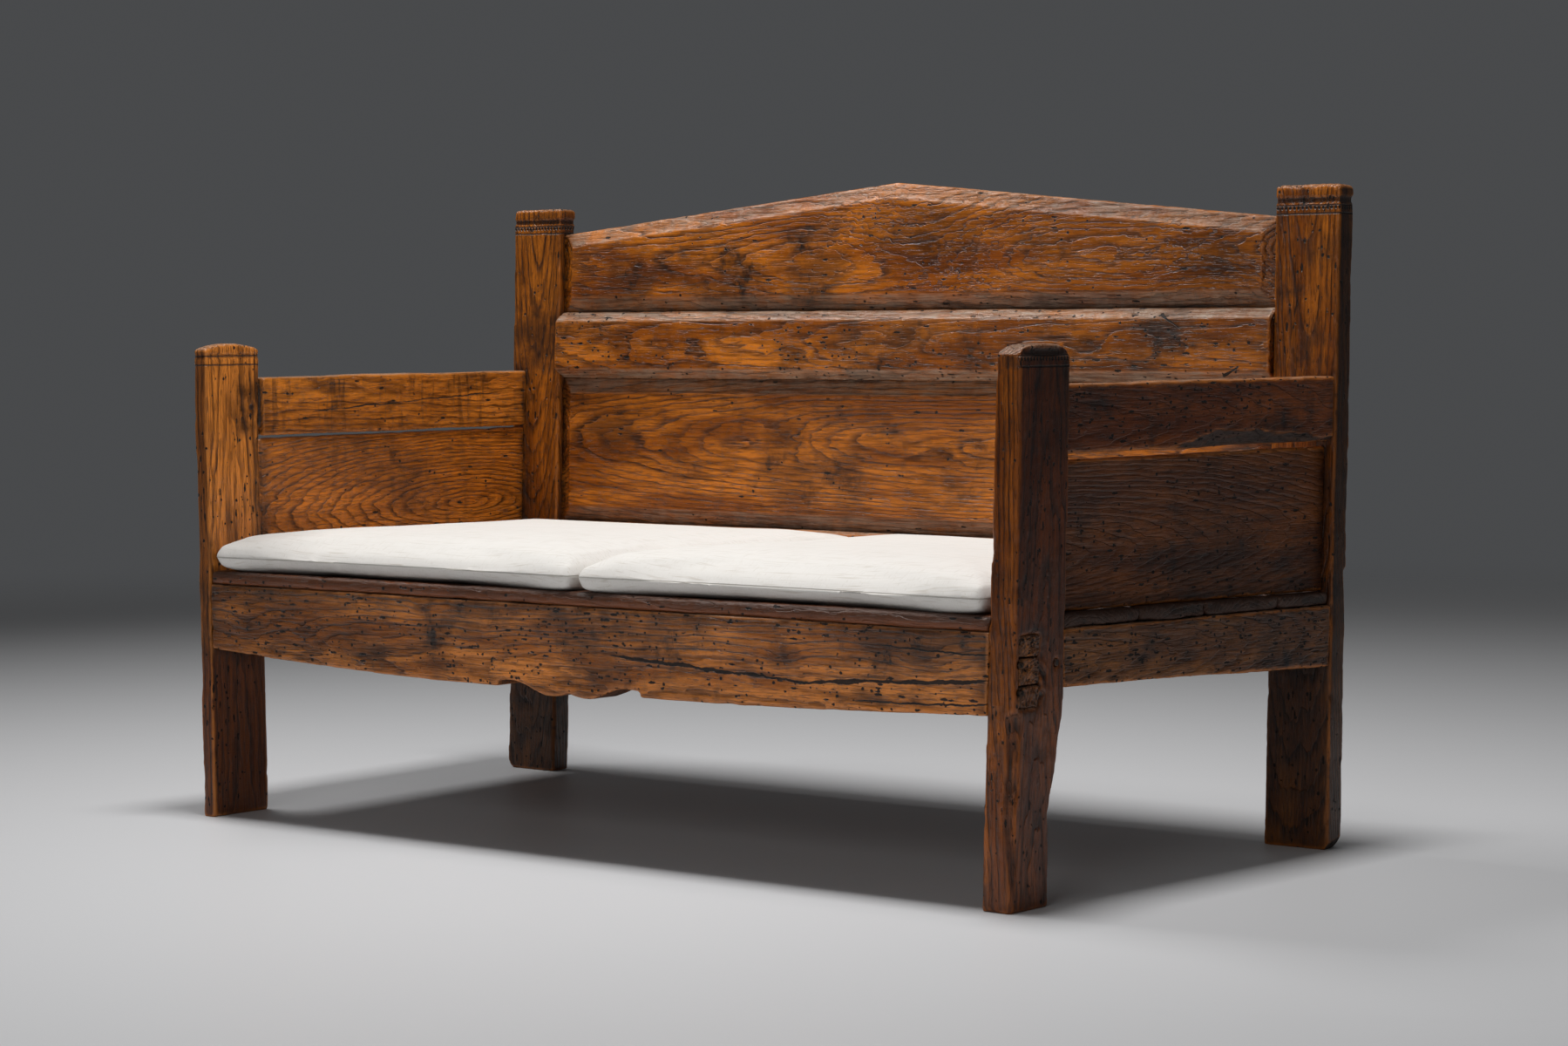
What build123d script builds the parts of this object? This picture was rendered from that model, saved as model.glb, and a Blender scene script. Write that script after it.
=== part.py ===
"""An old plank-built bench: panelled back with a low gable, closed arms, board seat and two loose pads.

Millimetres, +Z up. X runs along the bench and +Y to its back. The origin is on the floor under the
middle of the outline. The back leans, so its pieces are drawn on a raked plane. The bench is wider
behind than in front, so each side is drawn on a flared plane. The seat falls a little to the back.
"""

import os
from math import atan2, cos, radians, sin, tan

from build123d import *

os.makedirs("parts", exist_ok=True)

# Overall sizes
front_width = 1714  # twice the reach of the left front post at its top
rear_width = 1782  # across the outer edges of the rear posts
depth = 844  # front of the front posts to the rear of the rear posts, on the floor
back_rake = 1.9  # degrees
seat_height = 422  # top of the boards at the front edge
seat_fall = 0.8  # degrees, down to the back

# Front posts, planks set edge-on to the front
front_post_height = 809
front_post_depth = 124
front_post_thickness = 30  # at the top
front_post_splay = 10  # the top stands this far outside the foot
right_post_lean = 11  # the right one's outer face stands out this much more at the top
front_post_arch = 9  # rise of the rounded top
left_foot_thickness = 28
right_foot_thickness = 51
left_foot_depth = 124
right_foot_depth = 93
foot_taper_start = 42  # below the side rail
foot_taper_height = 140  # the leg narrows over this height
post_top_chamfer = 4

# Rear posts, planks set face-on to the front
rear_post_height = 1053
rear_post_width = 117
rear_post_thickness = 43

# Front rail
front_rail_thickness = 60
front_rail_end_height = 112
front_rail_belly = 24  # extra height at the middle
front_rail_droop = 8  # extra height at the right end
bow_half_width = 150
bow_step = 9
bow_arch_rise = 3
bow_arch_centre = 118
bow_turn = 78  # where each arch turns into a lobe
bow_lobe_centre = 32
bow_lobe_drop = 8
bow_cusp_rise = 6
front_tenon_shoulder = 12
front_tenon_edge = 5  # set in from the rail's upper and lower edges
kerf_height = 4
kerf_depth = 34
kerf_spacing = 40
front_pin_diameter = 10
front_pin_length = 48
front_pin_proud = 5
front_pin_drop = 9  # below its saw kerf

# Seat side rails and arm rails
side_rail_thickness = 44
side_rail_front_height = 84
side_rail_rear_height = 98
side_rail_setback = 2  # inside the rear post's outer edge
arm_rail_top = 750
arm_rail_height = 102
arm_rail_thickness = 34
arm_rail_round = 4
side_tenon_thickness = 12
side_tenon_length = 46
side_tenon_edge = 14
side_tenon_proud = 4  # end past the rear face of the rear post
wedge_length = 26
wedge_head = 5
wedge_tip = 1.5

# Side panels
side_panel_thickness = 12
side_panel_recess = 17  # behind the rails' outer faces
side_panel_slit = 8  # open under the arm rail
side_tongue_thickness = 6
side_tongue_depth = 8

# Back rails and panels, heights along the raked face
rear_rail_top = 472
rear_rail_height = 172
mid_rail_bottom = 738
mid_rail_height = 122
back_rail_thickness = 50
back_rail_proud = 12  # in front of the rear posts
mid_rail_chamfer_height = 16
mid_rail_chamfer_depth = 21
rear_rail_chamfer = 5
back_tenon_thickness = 14
back_tenon_length = 60
back_tenon_edge = 18
gable_end_height = 1005
gable_peak_height = 1081
gable_peak_radius = 90
panel_field_setback = 4  # behind the rear posts' faces
panel_field_step = 3
panel_bevel_drop = 11
panel_border = 25
panel_tongue_thickness = 12
panel_tongue_depth = 10

# Seat boards and bearer
board_thickness = 22
board_gap = 1.5
front_board_width = 316
second_board_width = 162
third_board_width = 190
board_nosing = 9
board_housing = 10  # depth of the rear board's groove in the rear rail
bearer_width = 70
bearer_height = 68
bearer_tenon_width = 40
bearer_tenon_height = 36
bearer_tenon_length = 18
bearer_tenon_edge = 10  # above the bearer's underside

# Pegs and nails
peg_diameter = 11
peg_edge = 20  # from the shoulder of the joint
side_peg_length = 27
back_peg_length = 36
back_peg_spacing = 44
nail_diameter = 5
nail_head_diameter = 11
nail_head_height = 2
nail_length = 44
nail_inset = 37  # from the boards' ends
nail_edge = 30  # from the boards' long edges

# Pads
pad_thickness = 73
pad_seam_height = 24
pad_shoulder_height = 42
pad_crown_edge_height = 58
pad_crown_slope_height = 68
pad_edge_inset = 12  # base and shoulder, inside the seam
pad_crown_edge_inset = 45
pad_crown_slope_inset = 105
pad_crown_inset = 190
pad_draw_in = 9  # how far each side pulls in between its corners
pad_crown_draw_in = 3
pad_front_gap = 1
pad_rear_gap = 4
pad_side_gap = 8
pad_split = 11  # where the two pads meet, right of the middle
pad_rest = 0.3  # clear of the boards
pad_between = 2

# Fits
joint_clearance = 0.4
pin_clearance = 0.2
overlap = 15  # tools and tenon roots run this far into their piece
foot_trim = 20

# Planes and places worked out from the sizes above
rake = radians(back_rake)
fall = radians(seat_fall)
rear_top_lean = (rear_post_height - post_top_chamfer) * sin(rake)
post_floor_depth = rear_post_thickness / cos(rake)
total_depth = depth - post_floor_depth + rear_top_lean + rear_post_thickness * cos(rake)
front_y = -total_depth / 2
post_rear_y = front_y + front_post_depth
back_y = front_y + depth - post_floor_depth
front_top_x = front_width / 2
post_leans = {-1: 0, 1: right_post_lean}  # of the left and the right front post
front_foot_x = front_top_x - front_post_splay
rear_x = rear_width / 2
back_half_span = rear_x - rear_post_width

front_plane = Plane(origin=(0, front_y, 0), x_dir=(1, 0, 0), z_dir=(0, -1, 0))
post_rear_plane = Plane(origin=(0, post_rear_y, 0), x_dir=(-1, 0, 0), z_dir=(0, 1, 0))
back_normal = Vector(0, -cos(rake), sin(rake))
back_plane = Plane(origin=(0, back_y, 0), x_dir=(1, 0, 0), z_dir=back_normal)
back_section = Plane(origin=(back_half_span, back_y, 0), x_dir=back_normal, z_dir=(-1, 0, 0))
seat_plane = Plane(origin=(0, front_y, seat_height), x_dir=(1, 0, 0), z_dir=(0, sin(fall), cos(fall)))
board_underside = seat_plane.offset(-board_thickness)


def outer_x(z, lean=0.0):
    """Outer face of a front post at a height."""
    return front_foot_x + (front_post_splay + lean) * z / front_post_height


def inner_x(z, foot_thickness):
    """Inner face of a front post at a height."""
    growth = (front_post_thickness - foot_thickness) * z / front_post_height
    return outer_x(z) - foot_thickness - growth


def back_face_y(z):
    """Front face of the rear posts at a height."""
    return back_y + z * tan(rake)


def seat_z(y):
    """Top of the seat boards at a distance along the depth."""
    return seat_height - (y - front_y) * tan(fall)


side_front_x = outer_x(seat_height)
side_run = back_face_y(seat_height) - post_rear_y
flare = atan2(rear_x - side_rail_setback - side_front_x, side_run)
side_plane = Plane(
    origin=(side_front_x, post_rear_y, 0),
    x_dir=(sin(flare), cos(flare), 0),
    z_dir=(cos(flare), -sin(flare), 0),
)


def side_reach(z, outward=0.0):
    """Length along the side plane from the front post to the rear post's front face, at a height."""
    return (back_face_y(z) - post_rear_y + outward * sin(flare)) / cos(flare)


def side_x(y):
    """Outer face of the side rails at a distance along the depth."""
    return side_front_x + (y - post_rear_y) * tan(flare)


def block(plane, low, high, start, end, mode=Mode.ADD):
    """Extrude the rectangle between two corners on a plane from one offset of the plane to another."""
    with BuildSketch(plane.offset(start)) as outline:
        Polygon(low, (high[0], low[1]), high, (low[0], high[1]), align=None)
    extrude(outline.sketch, amount=end - start, mode=mode)


def rods(plane, points, diameter, start, end, mode=Mode.ADD):
    """Extrude a circle at each point of a plane from one offset of the plane to another."""
    with BuildSketch(plane.offset(start)) as outline:
        with Locations(*points):
            Circle(diameter / 2)
    extrude(outline.sketch, amount=end - start, mode=mode)


def save(piece, name):
    """Label a finished piece and write it to its own file."""
    piece.label = name
    export_step(piece, f"parts/{name}.step")


def mirrored(piece):
    """The same piece for the other end of the bench."""
    with BuildPart() as other:
        mirror(piece, about=Plane.YZ)
    return other.part


# Heights of the rails
front_rail_top = seat_height - board_thickness
front_rail_bottom = front_rail_top - front_rail_end_height
front_tenon_bottom = front_rail_bottom + front_tenon_edge
front_tenon_top = front_rail_top - front_tenon_edge
kerf_middle = (front_tenon_bottom + front_tenon_top) / 2
kerf_heights = (kerf_middle - kerf_spacing / 2, kerf_middle + kerf_spacing / 2)
front_pin_points = [(front_y + front_tenon_shoulder, z - front_pin_drop) for z in kerf_heights]
side_rail_front_top = seat_z(post_rear_y) - board_thickness
side_rail_rear_top = seat_z(back_face_y(seat_height)) - board_thickness
side_rail_front_bottom = side_rail_front_top - side_rail_front_height
side_rail_rear_bottom = side_rail_rear_top - side_rail_rear_height
side_tenon_bottom = side_rail_front_bottom + side_tenon_edge
side_tenon_top = side_rail_rear_top - side_tenon_edge
arm_rail_bottom = arm_rail_top - arm_rail_height
arm_tenon_bottom = arm_rail_bottom + side_tenon_edge
arm_tenon_top = arm_rail_top - side_tenon_edge
side_panel_top = arm_rail_bottom - side_panel_slit
side_peg_height = (side_tenon_bottom + side_tenon_top) / 2
arm_peg_height = (arm_tenon_bottom + arm_tenon_top) / 2
side_panel_middle = -side_panel_recess - side_panel_thickness / 2


# Joints of the side and arm rails
def front_tenon(bottom, top, rail_thickness, grow=0.0, mode=Mode.ADD):
    """Tenon of a side or arm rail in the front post, or its mortise when grown and subtracted."""
    middle = -rail_thickness / 2
    half = side_tenon_thickness / 2 + grow
    low = (-side_tenon_length - grow, bottom - grow)
    high = (overlap, top + grow)
    block(side_plane, low, high, middle - half, middle + half, mode)


def rear_tenon_end(z):
    """Where the through tenon ends behind the rear post, along the side plane."""
    return side_reach(z) + post_floor_depth / cos(flare) + side_tenon_proud


def rear_tenon(bottom, top, rail_thickness, grow=0.0, mode=Mode.ADD):
    """Through tenon of a side or arm rail in the rear post, or its mortise when grown and subtracted."""
    middle = -rail_thickness / 2
    half = side_tenon_thickness / 2 + grow
    height = (bottom + top) / 2
    low = (side_reach(height) - overlap, bottom - grow)
    high = (rear_tenon_end(height) + grow, top + grow)
    block(side_plane, low, high, middle - half, middle + half, mode)


def tenon_wedge(bottom, top, rail_thickness, grow=0.0, mode=Mode.ADD):
    """Wedge driven into the end of a through tenon, or its slot when grown and subtracted."""
    height = (bottom + top) / 2
    end = rear_tenon_end(height)
    middle = -rail_thickness / 2
    half = side_tenon_thickness / 2
    with BuildSketch(side_plane.offset(middle - half)) as outline:
        Polygon(
            (end, height - wedge_head / 2 - grow),
            (end, height + wedge_head / 2 + grow),
            (end - wedge_length - grow, height + wedge_tip / 2 + grow),
            (end - wedge_length - grow, height - wedge_tip / 2 - grow),
            align=None,
        )
    extrude(outline.sketch, amount=2 * half, mode=mode)


def side_peg(height, start, end, diameter, mode=Mode.ADD):
    """Peg through the front post and a side or arm rail's tenon, along X."""
    rods(Plane.YZ, [(post_rear_y - peg_edge, height)], diameter, start, end, mode)


side_peg_inside = outer_x(side_peg_height) - side_peg_length
arm_peg_inside = inner_x(arm_peg_height, left_foot_thickness)
arm_peg_inside_right = inner_x(arm_peg_height, right_foot_thickness)


def side_panel_outline(tongue, bottom, top):
    """Outline of a side panel on the side plane, with tongues of a given depth at both ends."""
    return [
        (-tongue, bottom),
        (side_reach(bottom, side_panel_middle) + tongue, bottom),
        (side_reach(top, side_panel_middle) + tongue, top),
        (-tongue, top),
    ]


def side_panel_slab(tongue, bottom, top, thickness, mode=Mode.ADD):
    """Slab with the outline of a side panel, centred in its thickness."""
    with BuildSketch(side_plane.offset(side_panel_middle - thickness / 2)) as outline:
        Polygon(*side_panel_outline(tongue, bottom, top), align=None)
    extrude(outline.sketch, amount=thickness, mode=mode)


def side_panel_slot():
    """Cut the grooves for a side panel's tongues."""
    depth_in = side_tongue_depth + joint_clearance
    bottom = seat_z(back_face_y(seat_height)) - joint_clearance
    top = side_panel_top + joint_clearance
    side_panel_slab(depth_in, bottom, top, side_tongue_thickness + 2 * joint_clearance, Mode.SUBTRACT)


# Front posts
def front_post(foot_thickness, foot_depth, lean, arm_peg_start):
    """Front post for the right end: leaning plank with a rounded top, its leg tapered to a given foot."""
    arch_base = front_post_height - front_post_arch
    foot_rear_y = front_y + foot_depth
    taper_top = side_rail_front_bottom - foot_taper_start
    taper_bottom = taper_top - foot_taper_height
    with BuildPart() as post:
        with BuildSketch(front_plane):
            Polygon(
                (front_foot_x - foot_thickness, 0),
                (front_foot_x, 0),
                (front_top_x + lean, front_post_height),
                (front_top_x - front_post_thickness, front_post_height),
                align=None,
            )
        extrude(amount=-front_post_depth)
        with BuildSketch(Plane.YZ):
            with BuildLine():
                Polyline(
                    (post_rear_y, arch_base),
                    (post_rear_y, taper_top),
                    (foot_rear_y, taper_bottom),
                    (foot_rear_y, 0),
                    (front_y, 0),
                    (front_y, arch_base),
                )
                crown = ((front_y + post_rear_y) / 2, front_post_height)
                ThreePointArc((front_y, arch_base), crown, (post_rear_y, arch_base))
            make_face()
        extrude(amount=front_width, mode=Mode.INTERSECT)
        chamfer(post.faces().sort_by(Axis.Z)[-1].edges(), post_top_chamfer)
        block(
            Plane.YZ,
            (front_y + front_tenon_shoulder - joint_clearance, front_tenon_bottom - joint_clearance),
            (front_y + front_rail_thickness + joint_clearance, front_tenon_top + joint_clearance),
            0,
            front_width,
            Mode.SUBTRACT,
        )
        pin_bore = front_pin_diameter + 2 * pin_clearance
        rods(Plane.YZ, front_pin_points, pin_bore, 0, front_width, Mode.SUBTRACT)
        front_tenon(side_tenon_bottom, side_tenon_top, side_rail_thickness, joint_clearance, Mode.SUBTRACT)
        front_tenon(arm_tenon_bottom, arm_tenon_top, arm_rail_thickness, joint_clearance, Mode.SUBTRACT)
        side_panel_slot()
        bore = peg_diameter + 2 * pin_clearance
        side_peg(side_peg_height, side_peg_inside, front_width, bore, Mode.SUBTRACT)
        side_peg(arm_peg_height, 0, arm_peg_start + side_peg_length, bore, Mode.SUBTRACT)
    return post.part


front_post_right = front_post(right_foot_thickness, right_foot_depth, post_leans[1], arm_peg_inside_right)
front_post_left = mirrored(front_post(left_foot_thickness, left_foot_depth, post_leans[-1], arm_peg_inside))
save(front_post_right, "front_post_right")
save(front_post_left, "front_post_left")

# Rear posts
groove_low = panel_field_setback + panel_field_step + panel_bevel_drop
groove_front = -groove_low + joint_clearance
groove_back = -groove_low - panel_tongue_thickness - joint_clearance
groove_depth = panel_tongue_depth + joint_clearance
back_tenon_middle = -groove_low - panel_tongue_thickness / 2
rear_rail_bottom = rear_rail_top - rear_rail_height
mid_rail_top = mid_rail_bottom + mid_rail_height
back_rail_back = back_rail_proud - back_rail_thickness


def back_tenon(side, bottom, top, grow=0.0, mode=Mode.ADD):
    """Tenon at one end of a back rail, or its mortise when grown and subtracted."""
    half = back_tenon_thickness / 2 + grow
    low = (side * (back_half_span - overlap), bottom + back_tenon_edge - grow)
    high = (side * (back_half_span + back_tenon_length + grow), top - back_tenon_edge + grow)
    block(back_plane, low, high, back_tenon_middle - half, back_tenon_middle + half, mode)


def back_pegs(bottom, top, grow=0.0, mode=Mode.ADD):
    """Two pegs at each end of a back rail, driven from behind, or their bores when subtracted."""
    middle = (bottom + top) / 2
    across = back_half_span + peg_edge
    heights = (middle - back_peg_spacing / 2, middle + back_peg_spacing / 2)
    points = [(x, height) for x in (-across, across) for height in heights]
    start = -rear_post_thickness
    rods(back_plane, points, peg_diameter + 2 * grow, start, start + back_peg_length + grow, mode)


back_joints = ((rear_rail_bottom, rear_rail_top), (mid_rail_bottom, mid_rail_top))

with BuildPart() as rear_post:
    block(back_plane, (back_half_span, -foot_trim), (rear_x, rear_post_height), -rear_post_thickness, 0)
    split(bisect_by=Plane.XY, keep=Keep.TOP)
    chamfer(rear_post.faces().sort_by(Axis.Z)[-1].edges(), post_top_chamfer)
    block(
        back_plane,
        (back_half_span - overlap, rear_rail_top - groove_depth),
        (back_half_span + groove_depth, gable_end_height + joint_clearance),
        groove_back,
        groove_front,
        Mode.SUBTRACT,
    )
    for low, high in back_joints:
        back_tenon(1, low, high, joint_clearance, Mode.SUBTRACT)
        back_pegs(low, high, pin_clearance, Mode.SUBTRACT)
    rear_tenon(side_tenon_bottom, side_tenon_top, side_rail_thickness, joint_clearance, Mode.SUBTRACT)
    rear_tenon(arm_tenon_bottom, arm_tenon_top, arm_rail_thickness, joint_clearance, Mode.SUBTRACT)
    side_panel_slot()
save(rear_post.part, "rear_post_right")
save(mirrored(rear_post.part), "rear_post_left")

# Seat boards: where each starts and ends along the seat, from the front edge
seat_back_z = seat_z(back_face_y(seat_height))
rear_rail_face_y = back_face_y(seat_back_z) - back_rail_proud / cos(rake)
board_run = (rear_rail_face_y - front_y) / cos(fall) + board_housing
second_board_start = front_board_width + board_gap
third_board_start = second_board_start + second_board_width + board_gap
rear_board_start = third_board_start + third_board_width + board_gap
front_board_back = post_rear_y - front_y + joint_clearance
board_spans = {
    "seat_board_front": (front_board_back, front_board_width),
    "seat_board_second": (second_board_start, second_board_start + second_board_width),
    "seat_board_third": (third_board_start, third_board_start + third_board_width),
    "seat_board_rear": (rear_board_start, board_run - joint_clearance),
}


def board_end(run):
    """Half length of a seat board at a distance from the front edge."""
    return side_x(front_y + run * cos(fall))


def nails(grow=0.0, mode=Mode.ADD):
    """Two nails in each end of each seat board, or their holes when grown and subtracted."""
    points = []
    for start, end in board_spans.values():
        for run in (start + nail_edge, end - nail_edge):
            across = board_end(run) - nail_inset
            points += [(-across, run), (across, run)]
    rods(seat_plane, points, nail_diameter + 2 * grow, -nail_length - grow, 0, mode)
    rods(seat_plane, points, nail_head_diameter + 2 * grow, -nail_head_height - grow, 0, mode)


# Bearer under the middle of the boards
bearer_bottom = front_rail_top - bearer_height
bearer_tenon_bottom = bearer_bottom + bearer_tenon_edge
bearer_tenon_top = bearer_tenon_bottom + bearer_tenon_height
bearer_rear_y = back_face_y(bearer_bottom) - back_rail_proud / cos(rake)


def bearer_tenons(grow=0.0, mode=Mode.ADD):
    """Stub tenons of the bearer in the front and rear rails, or their mortises when subtracted."""
    half = bearer_tenon_width / 2 + grow
    start = front_y - bearer_rear_y - bearer_tenon_length - grow
    end = bearer_tenon_length - front_rail_thickness + grow
    low = (-half, bearer_tenon_bottom - grow)
    block(front_plane, low, (half, bearer_tenon_top + grow), start, end, mode)


# Front rail, with a bellied lower edge and a carved cupid's bow
belly_z = front_rail_bottom - front_rail_belly
rail_right_bottom = front_rail_bottom - front_rail_droop
rail_end_left = -inner_x(front_rail_bottom, left_foot_thickness)
rail_end_right = inner_x(rail_right_bottom, right_foot_thickness)


def belly_arc(end_x, end_z):
    """Arc of the lower edge from one end of the rail to the carving, and its height there."""
    def height(x):
        return belly_z + (end_z - belly_z) * (x / end_x) ** 2

    near_x = bow_half_width if end_x > 0 else -bow_half_width
    middle = (near_x + end_x) / 2
    ThreePointArc((end_x, height(end_x)), (middle, height(middle)), (near_x, height(near_x)))
    return near_x, height(near_x)


def bow_half(side, start):
    """Half of the cupid's bow: step, arch, lobe, and the cusp at the middle."""
    edge = (start[0], start[1] + bow_step)
    cusp_z = belly_z - bow_lobe_drop + bow_cusp_rise
    arch_z = belly_z + bow_step + bow_arch_rise
    turn = (side * bow_turn, (arch_z + belly_z - bow_lobe_drop) / 2)
    Line(start, edge)
    ThreePointArc(edge, (side * bow_arch_centre, arch_z), turn)
    ThreePointArc(turn, (side * bow_lobe_centre, belly_z - bow_lobe_drop), (0, cusp_z))


def rail_tenon(side, foot_thickness):
    """Outline of a through tenon of the front rail, from inside its shoulder to the post's outer face."""
    low, high = front_tenon_bottom, front_tenon_top
    return [
        (side * (inner_x(low, foot_thickness) - overlap), low),
        (side * outer_x(low, post_leans[side]), low),
        (side * outer_x(high, post_leans[side]), high),
        (side * (inner_x(high, foot_thickness) - overlap), high),
    ]


rail_head = front_rail_top + overlap
with BuildPart() as front_rail:
    with BuildSketch(front_plane):
        with BuildLine():
            bow_half(-1, belly_arc(rail_end_left, front_rail_bottom))
            bow_half(1, belly_arc(rail_end_right, rail_right_bottom))
            Polyline(
                (rail_end_right, rail_right_bottom),
                (inner_x(rail_head, right_foot_thickness), rail_head),
                (-inner_x(rail_head, left_foot_thickness), rail_head),
                (rail_end_left, front_rail_bottom),
            )
        make_face()
    extrude(amount=-front_rail_thickness)
    split(bisect_by=board_underside, keep=Keep.BOTTOM)
    with BuildSketch(front_plane.offset(-front_tenon_shoulder)):
        Polygon(*rail_tenon(-1, left_foot_thickness), align=None)
        Polygon(*rail_tenon(1, right_foot_thickness), align=None)
    extrude(amount=front_tenon_shoulder - front_rail_thickness)
    for side, lean in post_leans.items():
        for height in kerf_heights:
            low = (side * (outer_x(height, lean) - kerf_depth), height - kerf_height / 2)
            high = (side * front_width, height + kerf_height / 2)
            block(front_plane, low, high, -front_rail_thickness - overlap, overlap, Mode.SUBTRACT)
        start = side * (outer_x(kerf_middle, lean) - front_pin_length - pin_clearance)
        bore = front_pin_diameter + 2 * pin_clearance
        rods(Plane.YZ, front_pin_points, bore, start, side * front_width, Mode.SUBTRACT)
    bearer_tenons(joint_clearance, Mode.SUBTRACT)
save(front_rail.part, "front_rail")


# Back rails
def back_rail_section(bottom, top, chamfer_height, chamfer_depth):
    """Section of a back rail with both front edges chamfered."""
    return [
        (back_rail_back, bottom),
        (back_rail_proud - chamfer_depth, bottom),
        (back_rail_proud, bottom + chamfer_height),
        (back_rail_proud, top - chamfer_height),
        (back_rail_proud - chamfer_depth, top),
        (back_rail_back, top),
    ]


def panel_groove(edge, direction):
    """Groove for a panel's tongue in the lower (1) or upper (-1) edge of a back rail."""
    low = (-back_half_span - overlap, edge - direction * overlap)
    high = (back_half_span + overlap, edge + direction * groove_depth)
    block(back_plane, low, high, groove_back, groove_front, Mode.SUBTRACT)


def back_rail_ends(bottom, top):
    """Tenons at both ends of a back rail, bored for their pegs."""
    back_tenon(-1, bottom, top)
    back_tenon(1, bottom, top)
    back_pegs(bottom, top, pin_clearance, Mode.SUBTRACT)


with BuildPart() as mid_rail:
    with BuildSketch(back_section):
        mid_chamfer = (mid_rail_chamfer_height, mid_rail_chamfer_depth)
        Polygon(*back_rail_section(mid_rail_bottom, mid_rail_top, *mid_chamfer), align=None)
    extrude(amount=2 * back_half_span)
    panel_groove(mid_rail_bottom, 1)
    panel_groove(mid_rail_top, -1)
    back_rail_ends(mid_rail_bottom, mid_rail_top)
save(mid_rail.part, "back_mid_rail")

with BuildPart() as rear_rail:
    with BuildSketch(back_section):
        Polygon(
            *back_rail_section(rear_rail_bottom, rear_rail_top, rear_rail_chamfer, rear_rail_chamfer),
            align=None,
        )
    extrude(amount=2 * back_half_span)
    panel_groove(rear_rail_top, -1)
    back_rail_ends(rear_rail_bottom, rear_rail_top)
    block(
        seat_plane,
        (-rear_x, board_run - board_housing - overlap),
        (rear_x, board_run),
        -board_thickness - joint_clearance,
        joint_clearance,
        Mode.SUBTRACT,
    )
    bearer_tenons(joint_clearance, Mode.SUBTRACT)
save(rear_rail.part, "rear_rail")


# Back panels, raised and fielded
def back_panel(sight_outline, slab_outline, peak_radius):
    """Panel: a slab with tongues, a bevelled border, and a field that stands up by a small step."""
    with BuildPart() as panel:
        with BuildSketch(back_plane.offset(-groove_low - panel_tongue_thickness)) as slab:
            Polygon(*slab_outline, align=None)
            if peak_radius:
                fillet(slab.vertices().sort_by(Axis.Y)[-1], peak_radius)
        extrude(amount=panel_tongue_thickness)
        with BuildSketch(back_plane.offset(-groove_low)) as sight:
            Polygon(*sight_outline, align=None)
            if peak_radius:
                fillet(sight.vertices().sort_by(Axis.Y)[-1], peak_radius)
        with BuildSketch(back_plane.offset(panel_bevel_drop - groove_low)) as field:
            add(sight.sketch_local)
            offset(amount=-panel_border, kind=Kind.INTERSECTION, mode=Mode.REPLACE)
        loft(ruled=True)
        with BuildSketch(back_plane.offset(panel_bevel_drop - groove_low)):
            add(field.sketch_local)
        extrude(amount=panel_field_step)
    return panel.part


tongue_half = back_half_span + panel_tongue_depth
gable_slope = (gable_peak_height - gable_end_height) / back_half_span
gable_tongue_height = gable_end_height - gable_slope * panel_tongue_depth
top_panel = back_panel(
    [
        (-back_half_span, mid_rail_top),
        (back_half_span, mid_rail_top),
        (back_half_span, gable_end_height),
        (0, gable_peak_height),
        (-back_half_span, gable_end_height),
    ],
    [
        (-tongue_half, mid_rail_top - panel_tongue_depth),
        (tongue_half, mid_rail_top - panel_tongue_depth),
        (tongue_half, gable_tongue_height),
        (0, gable_peak_height),
        (-tongue_half, gable_tongue_height),
    ],
    gable_peak_radius,
)
save(top_panel, "back_top_panel")

lower_panel = back_panel(
    [
        (-back_half_span, rear_rail_top),
        (back_half_span, rear_rail_top),
        (back_half_span, mid_rail_bottom),
        (-back_half_span, mid_rail_bottom),
    ],
    [
        (-tongue_half, rear_rail_top - panel_tongue_depth),
        (tongue_half, rear_rail_top - panel_tongue_depth),
        (tongue_half, mid_rail_bottom + panel_tongue_depth),
        (-tongue_half, mid_rail_bottom + panel_tongue_depth),
    ],
    0,
)
save(lower_panel, "back_lower_panel")


# Side and arm rails
def rail_ends(bottom, top, thickness):
    """Cut a rail's shoulders to the posts, then add its tenons and the slot of its wedge."""
    split(bisect_by=post_rear_plane, keep=Keep.TOP)
    split(bisect_by=back_plane, keep=Keep.TOP)
    front_tenon(bottom, top, thickness)
    rear_tenon(bottom, top, thickness)
    tenon_wedge(bottom, top, thickness, pin_clearance, Mode.SUBTRACT)


peg_bore = peg_diameter + 2 * pin_clearance
rail_reach = side_reach(arm_rail_top) + overlap
with BuildPart() as side_rail:
    with BuildSketch(side_plane):
        Polygon(
            (-overlap, side_rail_front_bottom),
            (rail_reach, side_rail_rear_bottom),
            (rail_reach, seat_height),
            (-overlap, seat_height),
            align=None,
        )
    extrude(amount=-side_rail_thickness)
    split(bisect_by=board_underside, keep=Keep.BOTTOM)
    rail_ends(side_tenon_bottom, side_tenon_top, side_rail_thickness)
    side_peg(side_peg_height, 0, front_width, peg_bore, Mode.SUBTRACT)
    nails(pin_clearance, Mode.SUBTRACT)
save(side_rail.part, "side_rail_right")
save(mirrored(side_rail.part), "side_rail_left")

with BuildPart() as arm_rail:
    block(side_plane, (-overlap, arm_rail_bottom), (rail_reach, arm_rail_top), -arm_rail_thickness, 0)
    fillet(arm_rail.edges().filter_by(Axis((0, 0, 0), side_plane.x_dir)), arm_rail_round)
    rail_ends(arm_tenon_bottom, arm_tenon_top, arm_rail_thickness)
    side_peg(arm_peg_height, 0, front_width, peg_bore, Mode.SUBTRACT)
save(arm_rail.part, "arm_rail_right")
save(mirrored(arm_rail.part), "arm_rail_left")

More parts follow.
